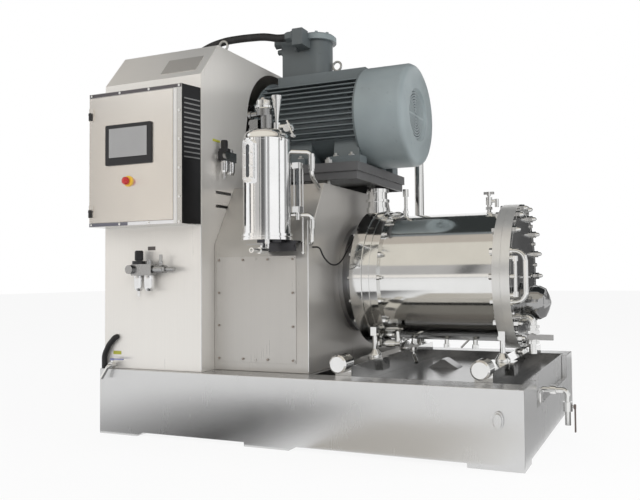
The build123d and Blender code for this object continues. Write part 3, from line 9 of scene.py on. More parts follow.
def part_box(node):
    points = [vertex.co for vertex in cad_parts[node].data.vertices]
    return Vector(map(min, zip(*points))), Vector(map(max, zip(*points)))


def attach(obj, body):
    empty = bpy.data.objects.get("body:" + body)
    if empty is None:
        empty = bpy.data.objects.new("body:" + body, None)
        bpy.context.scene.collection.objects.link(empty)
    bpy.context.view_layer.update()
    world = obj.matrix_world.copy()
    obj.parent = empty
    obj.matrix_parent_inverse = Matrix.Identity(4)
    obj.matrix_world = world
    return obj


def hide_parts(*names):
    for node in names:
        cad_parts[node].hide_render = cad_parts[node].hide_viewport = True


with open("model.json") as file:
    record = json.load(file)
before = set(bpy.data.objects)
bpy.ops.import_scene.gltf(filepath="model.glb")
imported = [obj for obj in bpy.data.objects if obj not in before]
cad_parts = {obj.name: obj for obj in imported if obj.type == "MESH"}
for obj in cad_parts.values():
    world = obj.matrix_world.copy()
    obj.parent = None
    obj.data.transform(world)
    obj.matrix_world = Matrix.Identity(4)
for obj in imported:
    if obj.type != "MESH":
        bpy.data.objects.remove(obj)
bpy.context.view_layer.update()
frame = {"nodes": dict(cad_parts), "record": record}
nodes = frame["nodes"]
slotOf = {part["node"]: part["material_slot"] for part in frame["record"]["subparts"]}
bodyOf = {node: body for body, members in frame["record"]["behaviour"]["bodies"].items() for node in members}
scene = bpy.context.scene
print("frame loaded:", len(nodes), "nodes")


# Small helpers

def camel(name):
    first, *rest = name.split("_")
    return first + "".join(word.capitalize() for word in rest)


def grey(level):
    return (level, level, level)


def toned(colour, factor):
    return tuple(min(1, part * factor) for part in colour)


def newPiece(name, mesh, look, body, smooth):
    piece = bpy.data.objects.new(name, mesh)
    scene.collection.objects.link(piece)
    mesh.materials.clear()
    mesh.materials.append(finish[look])
    shadeByAngle(mesh, smooth)
    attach(piece, body)
    return piece


def shadeByAngle(mesh, limit):
    shape = bmesh.new()
    shape.from_mesh(mesh)
    for face in shape.faces:
        face.smooth = True
    for edge in shape.edges:
        edge.smooth = not (len(edge.link_faces) == 2 and edge.calc_face_angle(0) > radians(limit))
    shape.to_mesh(mesh)
    shape.free()


def closedMesh(name, points, faces, closest=1e-6):
    mesh = bpy.data.meshes.new(name)
    mesh.from_pydata(points, [], faces)
    mesh.validate()
    shape = bmesh.new()
    shape.from_mesh(mesh)
    bmesh.ops.remove_doubles(shape, verts=shape.verts, dist=closest)
    bmesh.ops.recalc_face_normals(shape, faces=shape.faces)
    shape.to_mesh(mesh)
    shape.free()
    return mesh


# Nodes: one method makes every node, and sockets take part in plain arithmetic

class Sock:
    def __init__(self, plan, node, out=0):
        self.plan, self.node = plan, node
        self.socket = node.outputs[out] if len(node.outputs) else None

    def output(self, name):
        return Sock(self.plan, self.node, name)

    def maths(self, operation, other=0.0, swapped=False):
        pair = {0: other, 1: self} if swapped else {0: self, 1: other}
        return self.plan.add("ShaderNodeMath", {"operation": operation}, pair)

    def __add__(self, other):
        return self.maths("ADD", other)

    def __sub__(self, other):
        return self.maths("SUBTRACT", other)

    def __rsub__(self, other):
        return self.maths("SUBTRACT", other, True)

    def __mul__(self, other):
        return self.maths("MULTIPLY", other)

    def __truediv__(self, other):
        return self.maths("DIVIDE", other)

    def __rtruediv__(self, other):
        return self.maths("DIVIDE", other, True)

    def __gt__(self, other):
        return self.maths("GREATER_THAN", other)

    def __lt__(self, other):  # Python's reflected form of >
        return self.maths("LESS_THAN", other)

    __radd__ = __add__
    __rmul__ = __mul__


class Plan:
    def __init__(self, tree):
        self.tree = tree

    def add(self, kind, settings=None, values=None, out=0):
        node = self.tree.nodes.new(kind)
        for key, value in (settings or {}).items():
            if key == "stops":
                self.setStops(node.color_ramp, value)
            else:
                setattr(node, key, value)
        for key, value in (values or {}).items():
            self.feed(node.inputs[key], value)
        return Sock(self, node, out)

    def setStops(self, ramp, stops):
        while len(ramp.elements) > max(1, len(stops)):
            ramp.elements.remove(ramp.elements[-1])
        while len(ramp.elements) < len(stops):
            ramp.elements.new(0.5)
        for element, (position, colour) in zip(ramp.elements, stops):
            element.position = position
            element.color = (*colour, 1)

    def feed(self, socket, value):
        if isinstance(value, Sock):
            self.tree.links.new(value.socket, socket)
        elif isinstance(value, list):  # several links into one socket
            for link in value:
                self.feed(socket, link)
        elif hasattr(value, "__len__") and len(value) == 3 and socket.type == "RGBA":
            socket.default_value = (*value, 1)
        else:
            socket.default_value = value


class Paint(Plan):
    inputOf = {"colour": "Base Color", "roughness": "Roughness", "metallic": "Metallic", "alpha": "Alpha",
               "coat": "Coat Weight", "coatRoughness": "Coat Roughness", "normal": "Normal", "ior": "IOR",
               "glow": "Emission Color", "glowStrength": "Emission Strength",
               "specular": "Specular IOR Level", "brushing": "Anisotropic"}

    def __init__(self, name):
        self.material = bpy.data.materials.new(name)
        self.material.use_nodes = True
        super().__init__(self.material.node_tree)
        self.tree.nodes.clear()
        self.shader = self.add("ShaderNodeBsdfPrincipled")
        self.end = self.add("ShaderNodeOutputMaterial", None, {0: self.shader})
        self.place = self.add("ShaderNodeTexCoord", out="Object")

    def set(self, **values):
        for key, value in values.items():
            self.feed(self.shader.node.inputs[self.inputOf[key]], value)
        return self.material

    def noise(self, scale, detail=2.0, stretch=(1, 1, 1), rough=0.5):
        spread = self.add("ShaderNodeMapping", None, {"Vector": self.place, "Scale": stretch})
        values = {"Vector": spread, "Scale": scale, "Detail": detail, "Roughness": rough}
        return self.add("ShaderNodeTexNoise", None, values)

    def mix(self, share, first, second):
        return self.add("ShaderNodeMix", {"data_type": "RGBA"}, {0: share, 6: first, 7: second}, 2)

    def axis(self, letter):
        return self.add("ShaderNodeSeparateXYZ", None, {0: self.place}, letter)

    def bump(self, height, strength, distance, under=None):
        values = {"Height": height, "Strength": strength, "Distance": distance}
        if under is not None:
            values["Normal"] = under
        return self.add("ShaderNodeBump", None, values)


# Finishes. Noise scales are per metre, and bump depths are in metres

sheetGrain = {"stretch": {"X": (1.5, 60.0, 420.0), "Z": (420.0, 420.0, 1.5)}, "coarse": 1.0, "fine": 2.3,
              "coarseShare": 0.7, "fineShare": 0.3, "cloud": 0.9, "cloudStretch": (1.0, 1.0, 1.6),
              "smear": 7.0, "smearStretch": (1.0, 1.0, 0.5),
              "smearFrom": 0.62, "smearShare": 0.02, "smearRough": 0.10, "streakRough": 0.2, "lift": 0.2,
              "pale": 1.2, "dark": 0.8, "deep": 0.0004}


def brushedSheet(name, cool, warm, rough, metal=0.85, grainAlong="Z", brushing=0.8, streak=0.5):
    paint = Paint(name)
    stretch = sheetGrain["stretch"][grainAlong]
    grain = paint.noise(sheetGrain["coarse"], 3.0, stretch, 0.6)
    fine = paint.noise(sheetGrain["fine"], 2.0, stretch, 0.7)
    cloud = paint.noise(sheetGrain["cloud"], 1.0, sheetGrain["cloudStretch"])
    smear = paint.noise(sheetGrain["smear"], 3.0, sheetGrain["smearStretch"])
    smeared = (smear > sheetGrain["smearFrom"]) * sheetGrain["smearShare"]
    colour = paint.mix(cloud, cool, warm)
    colour = paint.mix((grain - 0.5) * streak + sheetGrain["lift"], colour, toned(warm, sheetGrain["pale"]))
    colour = paint.mix(smeared, colour, toned(cool, sheetGrain["dark"]))
    rougher, smearRough = streak * sheetGrain["streakRough"], sheetGrain["smearRough"]
    roughness = grain * rougher + smear * smearRough + (rough - smearRough)
    height = grain * sheetGrain["coarseShare"] + fine * sheetGrain["fineShare"]
    normal = paint.bump(height, rougher, sheetGrain["deep"])
    return paint.set(colour=colour, metallic=metal, roughness=roughness, normal=normal, brushing=brushing)


polish = {"smudge": 9.0, "smudgeRough": 0.06, "hair": (380.0, 380.0, 9.0), "hairRough": 0.03,
          "hairBump": 0.03, "hairDeep": 0.0002, "swell": 3.5, "swellDeep": 0.02, "dark": 0.88}


def polishedSteel(name, colour, rough, wave=0.03):
    paint = Paint(name)
    smudge = paint.noise(polish["smudge"], 4.0)
    hair = paint.noise(1.0, 2.0, polish["hair"])
    swell = paint.noise(polish["swell"], 1.0)
    tone = paint.mix(smudge, colour, toned(colour, polish["dark"]))
    roughness = smudge * polish["smudgeRough"] + hair * polish["hairRough"] + rough
    hairline = paint.bump(hair, polish["hairBump"], polish["hairDeep"])
    normal = paint.bump(swell, wave, polish["swellDeep"], hairline)
    return paint.set(colour=tone, metallic=1.0, roughness=roughness, normal=normal)


coatOfPaint = {"cloud": 6.0, "dark": 0.82, "pale": 1.18, "peel": 420.0, "peelBump": 0.12, "peelDeep": 0.0006,
               "sagBump": 0.06, "sagDeep": 0.004, "grime": 22.0, "grimeFrom": 0.66, "grimeShare": 0.25,
               "grimeDark": 0.6, "grimeRough": 0.2, "dust": 0.18, "dustColour": (0.48, 0.47, 0.44), "coat": 0.25}


def machinePaint(name, colour, rough):
    paint = Paint(name)
    cloud = paint.noise(coatOfPaint["cloud"], 4.0)
    peel = paint.noise(coatOfPaint["peel"], 2.0)
    grime = paint.noise(coatOfPaint["grime"], 5.0, rough=0.65)
    facing = paint.add("ShaderNodeNewGeometry", out="Normal")
    upward = paint.add("ShaderNodeSeparateXYZ", None, {0: facing}, "Z")
    dusty = upward.maths("MAXIMUM", 0.0) * grime * coatOfPaint["dust"]  # dust lies on what faces up
    grimy = (grime > coatOfPaint["grimeFrom"]) * coatOfPaint["grimeShare"]
    tone = paint.mix(cloud, toned(colour, coatOfPaint["dark"]), toned(colour, coatOfPaint["pale"]))
    tone = paint.mix(dusty, tone, coatOfPaint["dustColour"])
    tone = paint.mix(grimy, tone, toned(colour, coatOfPaint["grimeDark"]))
    sag = paint.bump(cloud, coatOfPaint["sagBump"], coatOfPaint["sagDeep"])
    normal = paint.bump(peel, coatOfPaint["peelBump"], coatOfPaint["peelDeep"], sag)
    return paint.set(colour=tone, roughness=grime * coatOfPaint["grimeRough"] + rough, normal=normal,
                     coat=coatOfPaint["coat"], coatRoughness=coatOfPaint["coat"])


moulding = {"grain": 900.0, "grainBump": 0.15, "grainDeep": 0.0003, "cloud": 14.0, "cloudRough": 0.12,
            "dark": 0.8, "pale": 1.2}


def plastic(name, colour, rough, coat=0.0):
    paint = Paint(name)
    grain = paint.noise(moulding["grain"], 2.0)
    cloud = paint.noise(moulding["cloud"], 3.0)
    tone = paint.mix(cloud, toned(colour, moulding["dark"]), toned(colour, moulding["pale"]))
    normal = paint.bump(grain, moulding["grainBump"], moulding["grainDeep"])
    return paint.set(colour=tone, roughness=cloud * moulding["cloudRough"] + rough, normal=normal, coat=coat)


sheath = {"skin": 260.0, "skinBump": 0.3, "skinDeep": 0.0004, "chalk": 18.0, "chalkFrom": 0.6, "chalkShare": 0.3,
          "chalkPale": 0.03, "chalkRough": 0.15}


def rubber(name, colour, rough):
    paint = Paint(name)
    skin = paint.noise(sheath["skin"], 3.0)
    chalk = paint.noise(sheath["chalk"], 4.0)
    chalky = (chalk > sheath["chalkFrom"]) * sheath["chalkShare"]
    tone = paint.mix(chalky, colour, tuple(part + sheath["chalkPale"] for part in colour))
    normal = paint.bump(skin, sheath["skinBump"], sheath["skinDeep"])
    return paint.set(colour=tone, roughness=chalk * sheath["chalkRough"] + rough, normal=normal)


turning = {"marks": (900.0, 3.0, 3.0), "marksBump": 0.15, "marksDeep": 0.0003, "smear": 12.0, "smearRough": 0.12,
           "dark": 0.8}


def turnedSteel(name, colour, rough):
    paint = Paint(name)
    marks = paint.noise(1.0, 2.0, turning["marks"])  # tool marks lie round the X axis
    smear = paint.noise(turning["smear"], 3.0)
    tone = paint.mix(smear, colour, toned(colour, turning["dark"]))
    normal = paint.bump(marks, turning["marksBump"], turning["marksDeep"])
    return paint.set(colour=tone, metallic=1.0, roughness=smear * turning["smearRough"] + rough, normal=normal)


glazing = {"smear": 16.0, "smearRough": 0.05, "smearAlpha": 0.08, "ior": 1.49, "coat": 0.4}


def clearPane(name, colour, alpha, rough=0.04):
    paint = Paint(name)
    smear = paint.noise(glazing["smear"], 3.0)
    paint.set(colour=colour, roughness=smear * glazing["smearRough"] + rough,
              alpha=smear * glazing["smearAlpha"] + alpha, ior=glazing["ior"], coat=glazing["coat"])
    paint.material.blend_method = "BLEND"
    return paint.material


screenLook = {"haze": 5.0, "hazeRough": 0.05, "dark": 0.30, "pale": 0.36, "rough": 0.12, "coat": 0.3}


def screenGlass():
    paint = Paint("screenGlass")
    haze = paint.noise(screenLook["haze"], 2.0)
    tone = paint.mix(haze, grey(screenLook["dark"]), grey(screenLook["pale"]))
    roughness = haze * screenLook["hazeRough"] + screenLook["rough"]
    return paint.set(colour=tone, roughness=roughness, coat=screenLook["coat"])


# the bottom trim's steel is painted shade left of changeAt and a painted highlight right of it
trimReflection = {"changeAt": -0.905, "dark": (0.10, 0.10, 0.14), "bright": (0.86, 0.86, 0.88), "grainShare": 0.3,
           "grainTone": 0.5, "metal": 0.6, "rough": 0.3}


def paintedTrimReflection():
    paint = Paint("trimTwoTone")
    grain = paint.noise(1.0, 2.0, sheetGrain["stretch"]["X"])
    tone = paint.mix(paint.axis("X") > trimReflection["changeAt"], trimReflection["dark"], trimReflection["bright"])
    tone = paint.mix(grain * trimReflection["grainShare"], tone, grey(trimReflection["grainTone"]))
    return paint.set(colour=tone, metallic=trimReflection["metal"], roughness=trimReflection["rough"])


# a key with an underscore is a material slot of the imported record
finish = {
    "skid_steel": brushedSheet("skidSheet", grey(0.58), grey(0.66), 0.30, metal=0.9, streak=0.12),
    "brushed_sheet": brushedSheet("hoodSheet", (0.72, 0.705, 0.68), (0.80, 0.775, 0.735), 0.32,
                                  metal=0.55, streak=0.3),
    "doorSheet": brushedSheet("doorSheet", (0.70, 0.68, 0.65), (0.80, 0.75, 0.69), 0.22,
                              metal=0.88, grainAlong="X"),
    "shellSheet": brushedSheet("shellSheet", grey(0.50), (0.56, 0.55, 0.53), 0.18,
                               metal=1.0, grainAlong="X", brushing=0.0),
    "panelSheet": brushedSheet("panelSheet", (0.44, 0.43, 0.41), (0.52, 0.50, 0.475), 0.32,
                               metal=0.6, streak=0.3),
    "rimSteel": brushedSheet("rimSteel", (0.60, 0.60, 0.59), (0.68, 0.67, 0.65), 0.34,
                             metal=0.6, grainAlong="X", brushing=0.4, streak=0.15),
    "polished_steel": polishedSteel("polishedSteel", (0.82, 0.82, 0.81), 0.05),
    "regulator_metal": polishedSteel("regulatorMetal", grey(0.42), 0.22),
    "tankSteel": polishedSteel("tankSteel", grey(0.95), 0.05, 0.02),
    "coverSteel": polishedSteel("coverSteel", grey(0.40), 0.07),
    "pumpMetal": polishedSteel("pumpMetal", grey(0.34), 0.16),
    # near-black steel: painted shade for the bracket plate in the shade under the slope
    "blockDark": polishedSteel("blockDark", (0.075, 0.075, 0.08), 0.25),
    "traySheet": polishedSteel("traySheet", grey(0.28), 0.14),
    "bowlMetal": polishedSteel("bowlMetal", grey(0.86), 0.12),
    # near-black steel: painted shade for the dark gap behind the louvre slats
    "darkSheet": polishedSteel("darkSheet", (0.045, 0.045, 0.047), 0.25),
    # the next three are one trim steel painted dark and bright: painted shade and painted highlight
    "trimDark": polishedSteel("trimDark", (0.16, 0.15, 0.16), 0.28),
    "trimBright": polishedSteel("trimBright", grey(0.88), 0.25),
    "trimTwoTone": paintedTrimReflection(),
    "machined_steel": turnedSteel("turnedSteel", (0.50, 0.50, 0.51), 0.25),
    "plated_steel": turnedSteel("platedSteel", (0.58, 0.58, 0.57), 0.28),
    "lever_steel": turnedSteel("leverSteel", grey(0.52), 0.30),
    "pulley_iron": turnedSteel("pulleyIron", (0.22, 0.22, 0.23), 0.40),
    "slatSheet": turnedSteel("slatSheet", grey(0.42), 0.3),
    "screwSteel": turnedSteel("screwSteel", (0.42, 0.37, 0.33), 0.4),
    "dark_steel": machinePaint("platformPaint", (0.085, 0.085, 0.087), 0.32),
    "motor_paint": machinePaint("motorPaint", (0.200, 0.237, 0.246), 0.28),
    "coverPaint": machinePaint("coverPaint", (0.240, 0.280, 0.290), 0.28),
    "finPaint": machinePaint("finPaint", (0.118, 0.140, 0.147), 0.30),
    "boxPaint": machinePaint("boxPaint", (0.085, 0.100, 0.105), 0.28),
    "belt_rubber": rubber("beltRubber", grey(0.02), 0.6),
    "black_rubber": rubber("cableSheath", (0.012, 0.012, 0.013), 0.40),
    "clear_glass": clearPane("sightGlass", (0.10, 0.11, 0.12), 0.55),
    "clear_plastic": clearPane("bowlPlastic", (0.55, 0.57, 0.58), 0.45, 0.08),
    "screenGlass": screenGlass(),
    "fan_plastic": plastic("fanPlastic", grey(0.04), 0.5),
    "black_plastic": plastic("blackPlastic", (0.012, 0.012, 0.014), 0.32),
    "yellow_plastic": plastic("yellowPlastic", (0.85, 0.50, 0.03), 0.25, 0.4),
    "red_plastic": plastic("redPlastic", (0.52, 0.012, 0.012), 0.22, 0.5),
    "blue_grip": plastic("blueGrip", (0.20, 0.22, 0.42), 0.35, 0.2),
    "brown_grip": plastic("brownGrip", (0.13, 0.10, 0.09), 0.35, 0.2),
    "darkLabel": plastic("darkLabel", (0.10, 0.085, 0.08), 0.5),
    "yellowLabel": plastic("yellowLabel", (0.42, 0.42, 0.05), 0.5),
}
print("finishes made:", len(finish))


# Dressed CAD pieces: a merged copy with eased edges stands for each node

dressing = {"smooth": 38, "merge": 1e-5, "flat": 0.4, "easeFrom": 40, "ease": 0.0006}  # degrees and metres
easeOf = {"belt_guard_hood": 0.003, "base_frame": 0.0025, "pedestal": 0.004, "motor_frame": 0.0012,
          "motor_fan_cover": 0.0008, "access_panels": 0.0012, "cabinet_shell": 0.0012, "cabinet_door": 0.002,
          "junction_box": 0.004, "junction_box_cover": 0.002, "end_flanges": 0.002, "end_cover": 0.002}
lookOf = {"drip_tray": "traySheet", "regulator_bowls": "bowlMetal", "seal_tank": "tankSteel",
          "seal_tank_lid": "tankSteel", "cabinet_door": "doorSheet", "cabinet_shell": "shellSheet",
          "access_panels": "panelSheet", "pedestal": "panelSheet", "motor_frame": "finPaint",
          "junction_box": "boxPaint", "cable_fittings": "boxPaint", "end_cover": "coverSteel",
          "motor_fan_cover": "coverPaint"}

# parts of a node that have another finish, by the lowest and highest corner of the box that holds them; the dark
# block on the tank fittings is painted shade
patches = {
    "barrel_jacket": [((0.789, -2, 0), (0.8275, 2, 3), "rimSteel")],
    "end_cover": [((0.8255, -2, 0), (0.8695, 2, 3), "rimSteel")],
    # the first box is painted shade: the bracket plate under the slope is made near black
    "tank_fittings": [((-0.245, -0.668, 0.90), (-0.058, -0.555, 0.956), "blockDark"),
                      ((-0.256, -0.75, 1.463), (-0.130, -0.664, 1.56), "pumpMetal")],
    "regulator_bodies": [((-0.92, -0.76, 0.835), (-0.86, -0.66, 0.88), "black_plastic"),
                         ((-0.56, -0.57, 1.40), (-0.48, -0.49, 1.44), "black_plastic")],
}


def patch(piece, node):
    for low, high, look in patches.get(node, []):
        piece.data.materials.append(finish[look])
        slot = len(piece.data.materials) - 1
        for face in piece.data.polygons:
            if all(low[axis] <= face.center[axis] <= high[axis] for axis in range(3)):
                face.material_index = slot


def dress(node):
    mesh = nodes[node].data.copy()
    shape = bmesh.new()
    shape.from_mesh(mesh)
    bmesh.ops.remove_doubles(shape, verts=shape.verts, dist=dressing["merge"])
    bmesh.ops.dissolve_limit(shape, angle_limit=radians(dressing["flat"]), verts=shape.verts, edges=shape.edges)
    shape.to_mesh(mesh)
    shape.free()
    look = lookOf.get(node, slotOf[node])
    piece = newPiece(camel(node), mesh, look, bodyOf[node], dressing["smooth"])
    patch(piece, node)
    bevel = piece.modifiers.new("easedEdges", "BEVEL")
    bevel.width = easeOf.get(node, dressing["ease"])
    bevel.segments = 2
    bevel.limit_method = "ANGLE"
    bevel.angle_limit = radians(dressing["easeFrom"])
    bevel.harden_normals = True
    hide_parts(node)


for node in nodes:
    dress(node)
print("nodes dressed")


# Small pieces that repeat: one Geometry Nodes tree for each kind sets copies of it along a row

class RowPlan(Plan):
    def __init__(self, name):
        super().__init__(bpy.data.node_groups.new(name, "GeometryNodeTree"))
        self.tree.interface.new_socket("Geometry", in_out="OUTPUT", socket_type="NodeSocketGeometry")
        self.identifierOf = {}

    def ask(self, name, kind, default):
        socket = self.tree.interface.new_socket(name, in_out="INPUT", socket_type="NodeSocket" + kind)
        socket.default_value = default
        self.identifierOf[name] = socket.identifier


rowInputs = {"Start": ("Vector", (0, 0, 0)), "Step": ("Vector", (0.1, 0, 0)), "Facing": ("Vector", (0, 0, 0)),
             "Count": ("Int", 4), "Size": ("Vector", (0.01, 0.01, 0.004))}
screwHead = {"sides": 14, "crownRings": 6, "crownRadius": 0.44, "crownRise": 0.42, "crownFlat": 0.55}


def slatUnit(plan, size):
    return plan.add("GeometryNodeMeshCube", None, {"Size": size})


def screwUnit(plan, size):
    # a round head with a low crown, one unit across and high, brought to its size at the end
    head = plan.add("GeometryNodeMeshCylinder", None,
                    {"Vertices": screwHead["sides"], "Radius": 0.5, "Depth": 1.0})
    ball = plan.add("GeometryNodeMeshUVSphere", None,
                    {"Segments": screwHead["sides"], "Rings": screwHead["crownRings"],
                     "Radius": screwHead["crownRadius"]})
    crown = plan.add("GeometryNodeTransform", None,
                     {"Geometry": ball, "Translation": (0, 0, screwHead["crownRise"]),
                      "Scale": (1, 1, screwHead["crownFlat"])})
    both = plan.add("GeometryNodeJoinGeometry", None, {0: [head, crown]})
    return plan.add("GeometryNodeTransform", None, {"Geometry": both, "Scale": size})


def rowPlan(name, unitMaker):
    plan = RowPlan(name)
    for label, (kind, default) in rowInputs.items():
        plan.ask(label, kind, default)
    given = plan.add("NodeGroupInput").output
    seats = plan.add("GeometryNodeMeshLine", {"mode": "OFFSET"},
                     {"Count": given("Count"), "Offset": given("Step")})
    copies = plan.add("GeometryNodeInstanceOnPoints", None,
                      {"Points": seats, "Instance": unitMaker(plan, given("Size")), "Rotation": given("Facing")})
    placed = plan.add("GeometryNodeTransform", None, {"Geometry": copies, "Translation": given("Start")})
    whole = plan.add("GeometryNodeRealizeInstances", None, {0: placed})
    plan.painter = plan.add("GeometryNodeSetMaterial", None, {0: whole})
    plan.add("NodeGroupOutput", None, {0: plan.painter})
    return plan


planOf = {"screw": rowPlan("rowOfScrews", screwUnit), "slat": rowPlan("rowOfSlats", slatUnit)}


def rowMesh(kind, look, **sizes):
    plan = planOf[kind]
    holder = bpy.data.objects.new("rowMaker", bpy.data.meshes.new("rowMaker"))
    scene.collection.objects.link(holder)
    maker = holder.modifiers.new("row", "NODES")
    plan.feed(plan.painter.node.inputs["Material"], finish[look])
    maker.node_group = plan.tree
    for name, value in sizes.items():
        maker[plan.identifierOf[name.capitalize()]] = value
    graph = bpy.context.evaluated_depsgraph_get()
    mesh = bpy.data.meshes.new_from_object(holder.evaluated_get(graph))
    bpy.data.objects.remove(holder)
    return mesh


smallPieces = {"smooth": 30, "plateEase": 0.0004}


def rows(name, kind, look, runs, size, facing):
    # every run is a start, a step and a count, and all of them are joined into one mesh
    shape = bmesh.new()
    for start, step, count in runs:
        shape.from_mesh(rowMesh(kind, look, start=start, step=step, count=count, size=size, facing=facing))
    mesh = bpy.data.meshes.new(name)
    shape.to_mesh(mesh)
    shape.free()
    newPiece(name, mesh, look, "frame", smallPieces["smooth"])


def plate(name, corners, thickness, outward, look, body="frame"):
    # a thin plate on four corners, thickened outwards from the surface that carries it
    low = [Vector(corner) for corner in corners]
    high = [corner + Vector(outward).normalized() * thickness for corner in low]
    faces = [(0, 1, 2, 3), (7, 6, 5, 4), (0, 4, 5, 1), (1, 5, 6, 2), (2, 6, 7, 3), (3, 7, 4, 0)]
    piece = newPiece(name, closedMesh(name, low + high, faces), look, body, smallPieces["smooth"])
    bevel = piece.modifiers.new("easedEdges", "BEVEL")
    bevel.width = smallPieces["plateEase"]
    bevel.segments = 2


def onFront(x0, x1, z0, z1, y):
    return [(x0, y, z0), (x1, y, z0), (x1, y, z1), (x0, y, z1)]


def onSide(y0, y1, z0, z1, x):
    return [(x, y0, z0), (x, y1, z0), (x, y1, z1), (x, y0, z1)]


towardsFront = (0, -1, 0)
screwsFaceFront = (radians(90), 0, 0)


# Control cabinet

doorLow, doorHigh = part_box("cabinet_door")
shellLow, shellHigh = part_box("cabinet_shell")
hoodLow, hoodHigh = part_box("belt_guard_hood")
screenLow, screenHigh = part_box("touch_screen")

screen = {"left": 0.024, "right": 0.026, "under": 0.038, "over": 0.019, "thick": 0.0012}
plate("screenPane", onFront(screenLow.x + screen["left"], screenHigh.x - screen["right"],
                            screenLow.z + screen["under"], screenHigh.z - screen["over"], screenLow.y),
      screen["thick"], towardsFront, "screenGlass", "control_door")

louvres = {"frontGap": (0.0006, 0.004), "backGap": 0.0015, "edge": 0.002, "thick": 0.0012, "slats": 13,
           "top": 0.07, "step": 0.0235, "proud": 0.003, "slatWide": 0.0045, "slatShare": 0.86, "slatHigh": 0.006}


def louvredSide():
    # the slanted sheet between the cabinet and the hood, near black as painted shade for the dark gap behind the
    # slats
    front = Vector((shellHigh.x + louvres["frontGap"][0], shellLow.y + louvres["frontGap"][1], 0))
    back = Vector((hoodHigh.x - louvres["backGap"], hoodLow.y - louvres["backGap"], 0))
    along = (back - front).normalized()
    outward = Vector((along.y, -along.x, 0))
    z0, z1 = shellLow.z + louvres["edge"], shellHigh.z - louvres["edge"]
    corners = [(front.x, front.y, z0), (back.x, back.y, z0), (back.x, back.y, z1), (front.x, front.y, z1)]
    plate("louvreSide", corners, louvres["thick"], outward, "darkSheet")
    middle = (front + back) / 2 + outward * louvres["proud"]
    first = (middle.x, middle.y, shellHigh.z - louvres["top"])
    size = (louvres["slatWide"], (back - front).length * louvres["slatShare"], louvres["slatHigh"])
    rows("louvreSlats", "slat", "slatSheet",
         [(first, (0, 0, -louvres["step"]), louvres["slats"])], size,
         (0, 0, along.to_2d().angle_signed(Vector((0, 1)))))


louvredSide()
print("cabinet dressed")


# Front of the belt guard and the pedestal

panel = {"x": (-0.536, -0.090), "z": (0.371, 0.885), "front": -0.569, "inset": 0.016,
         "screw": (0.011, 0.011, 0.004)}


def panelScrews():
    (x0, x1), (z0, z1), y, inset = panel["x"], panel["z"], panel["front"], panel["inset"]
    x0, x1, z0, z1 = x0 + inset, x1 - inset, z0 + inset, z1 - inset
    across, rise = (x1 - x0) / 3, (z1 - z0) / 3
    runs = [((x0, y, z0), (across, 0, 0), 4), ((x0, y, z1), (across, 0, 0), 4),
            ((x0, y, z0 + rise), (0, 0, rise), 2), ((x1, y, z0 + rise), (0, 0, rise), 2)]
    rows("panelScrews", "screw", "screwSteel", runs, panel["screw"], screwsFaceFront)


panelScrews()

# bare plates, each by its two edges across and its two edges up
labels = {"thick": 0.0008, "air": (-0.874, -0.827, 0.924, 0.943), "water": (-1.093, -1.041, 0.397, 0.415),
          "side": (-0.574, -0.510, 1.469, 1.481)}
plate("airLabel", onFront(*labels["air"], hoodLow.y), labels["thick"], towardsFront, "darkLabel")
plate("waterLabel", onFront(*labels["water"], hoodLow.y), labels["thick"], towardsFront, "yellowLabel")
plate("sideLabel", onSide(*labels["side"], hoodHigh.x), labels["thick"], (1, 0, 0), "yellowLabel")

shellScrews = {"lift": 0.001, "edgeZ": 0.010, "left": 0.016, "right": 0.014, "sideStart": 0.12,
               "size": (0.013, 0.013, 0.005)}


def frameScrews():
    y = shellLow.y - shellScrews["lift"]
    z0, z1 = shellLow.z + shellScrews["edgeZ"], shellHigh.z - shellScrews["edgeZ"]
    x0, x1 = shellLow.x + shellScrews["left"], shellHigh.x - shellScrews["right"]
    across = (x1 - x0) / 3
    rise = (z1 - z0 - 2 * shellScrews["sideStart"]) / 3
    runs = [((x0, y, z0), (across, 0, 0), 4), ((x0, y, z1), (across, 0, 0), 4),
            ((x1, y, z0 + shellScrews["sideStart"]), (0, 0, rise), 4)]
    rows("cabinetScrews", "screw", "polished_steel", runs, shellScrews["size"], screwsFaceFront)


frameScrews()

trims = {"edge": 0.002, "doorGap": 0.003, "past": 0.004, "thick": 0.001, "hinge": (0.005, 0.024),
         "hingeThick": 0.0018}


def frameTrims():
    # folded trims round the door in one steel, painted dark and bright as reflection: painted shade along the
    # top, painted shade then a painted highlight along the bottom, a painted highlight at the hinges
    edge, gap, y = trims["edge"], trims["doorGap"], shellLow.y
    top = onFront(shellLow.x + edge, shellHigh.x - edge, doorHigh.z + gap, shellHigh.z - edge, y)
    bottom = onFront(shellLow.x + edge, doorHigh.x + trims["past"], shellLow.z + edge, doorLow.z - gap, y)
    hinge = onFront(doorHigh.x + trims["hinge"][0], doorHigh.x + trims["hinge"][1], shellLow.z + edge,
                    doorHigh.z, y)
    plate("topTrim", top, trims["thick"], towardsFront, "trimDark")
    plate("bottomTrim", bottom, trims["thick"], towardsFront, "trimTwoTone")
    plate("hingeTrim", hinge, trims["hingeThick"], towardsFront, "trimBright")


frameTrims()

weld = {"radius": 0.0028, "sides": 10, "smooth": 50, "inset": 0.0015, "foot": 0.01, "hoodTop": 1.04,
        "pedestalTop": 1.05}


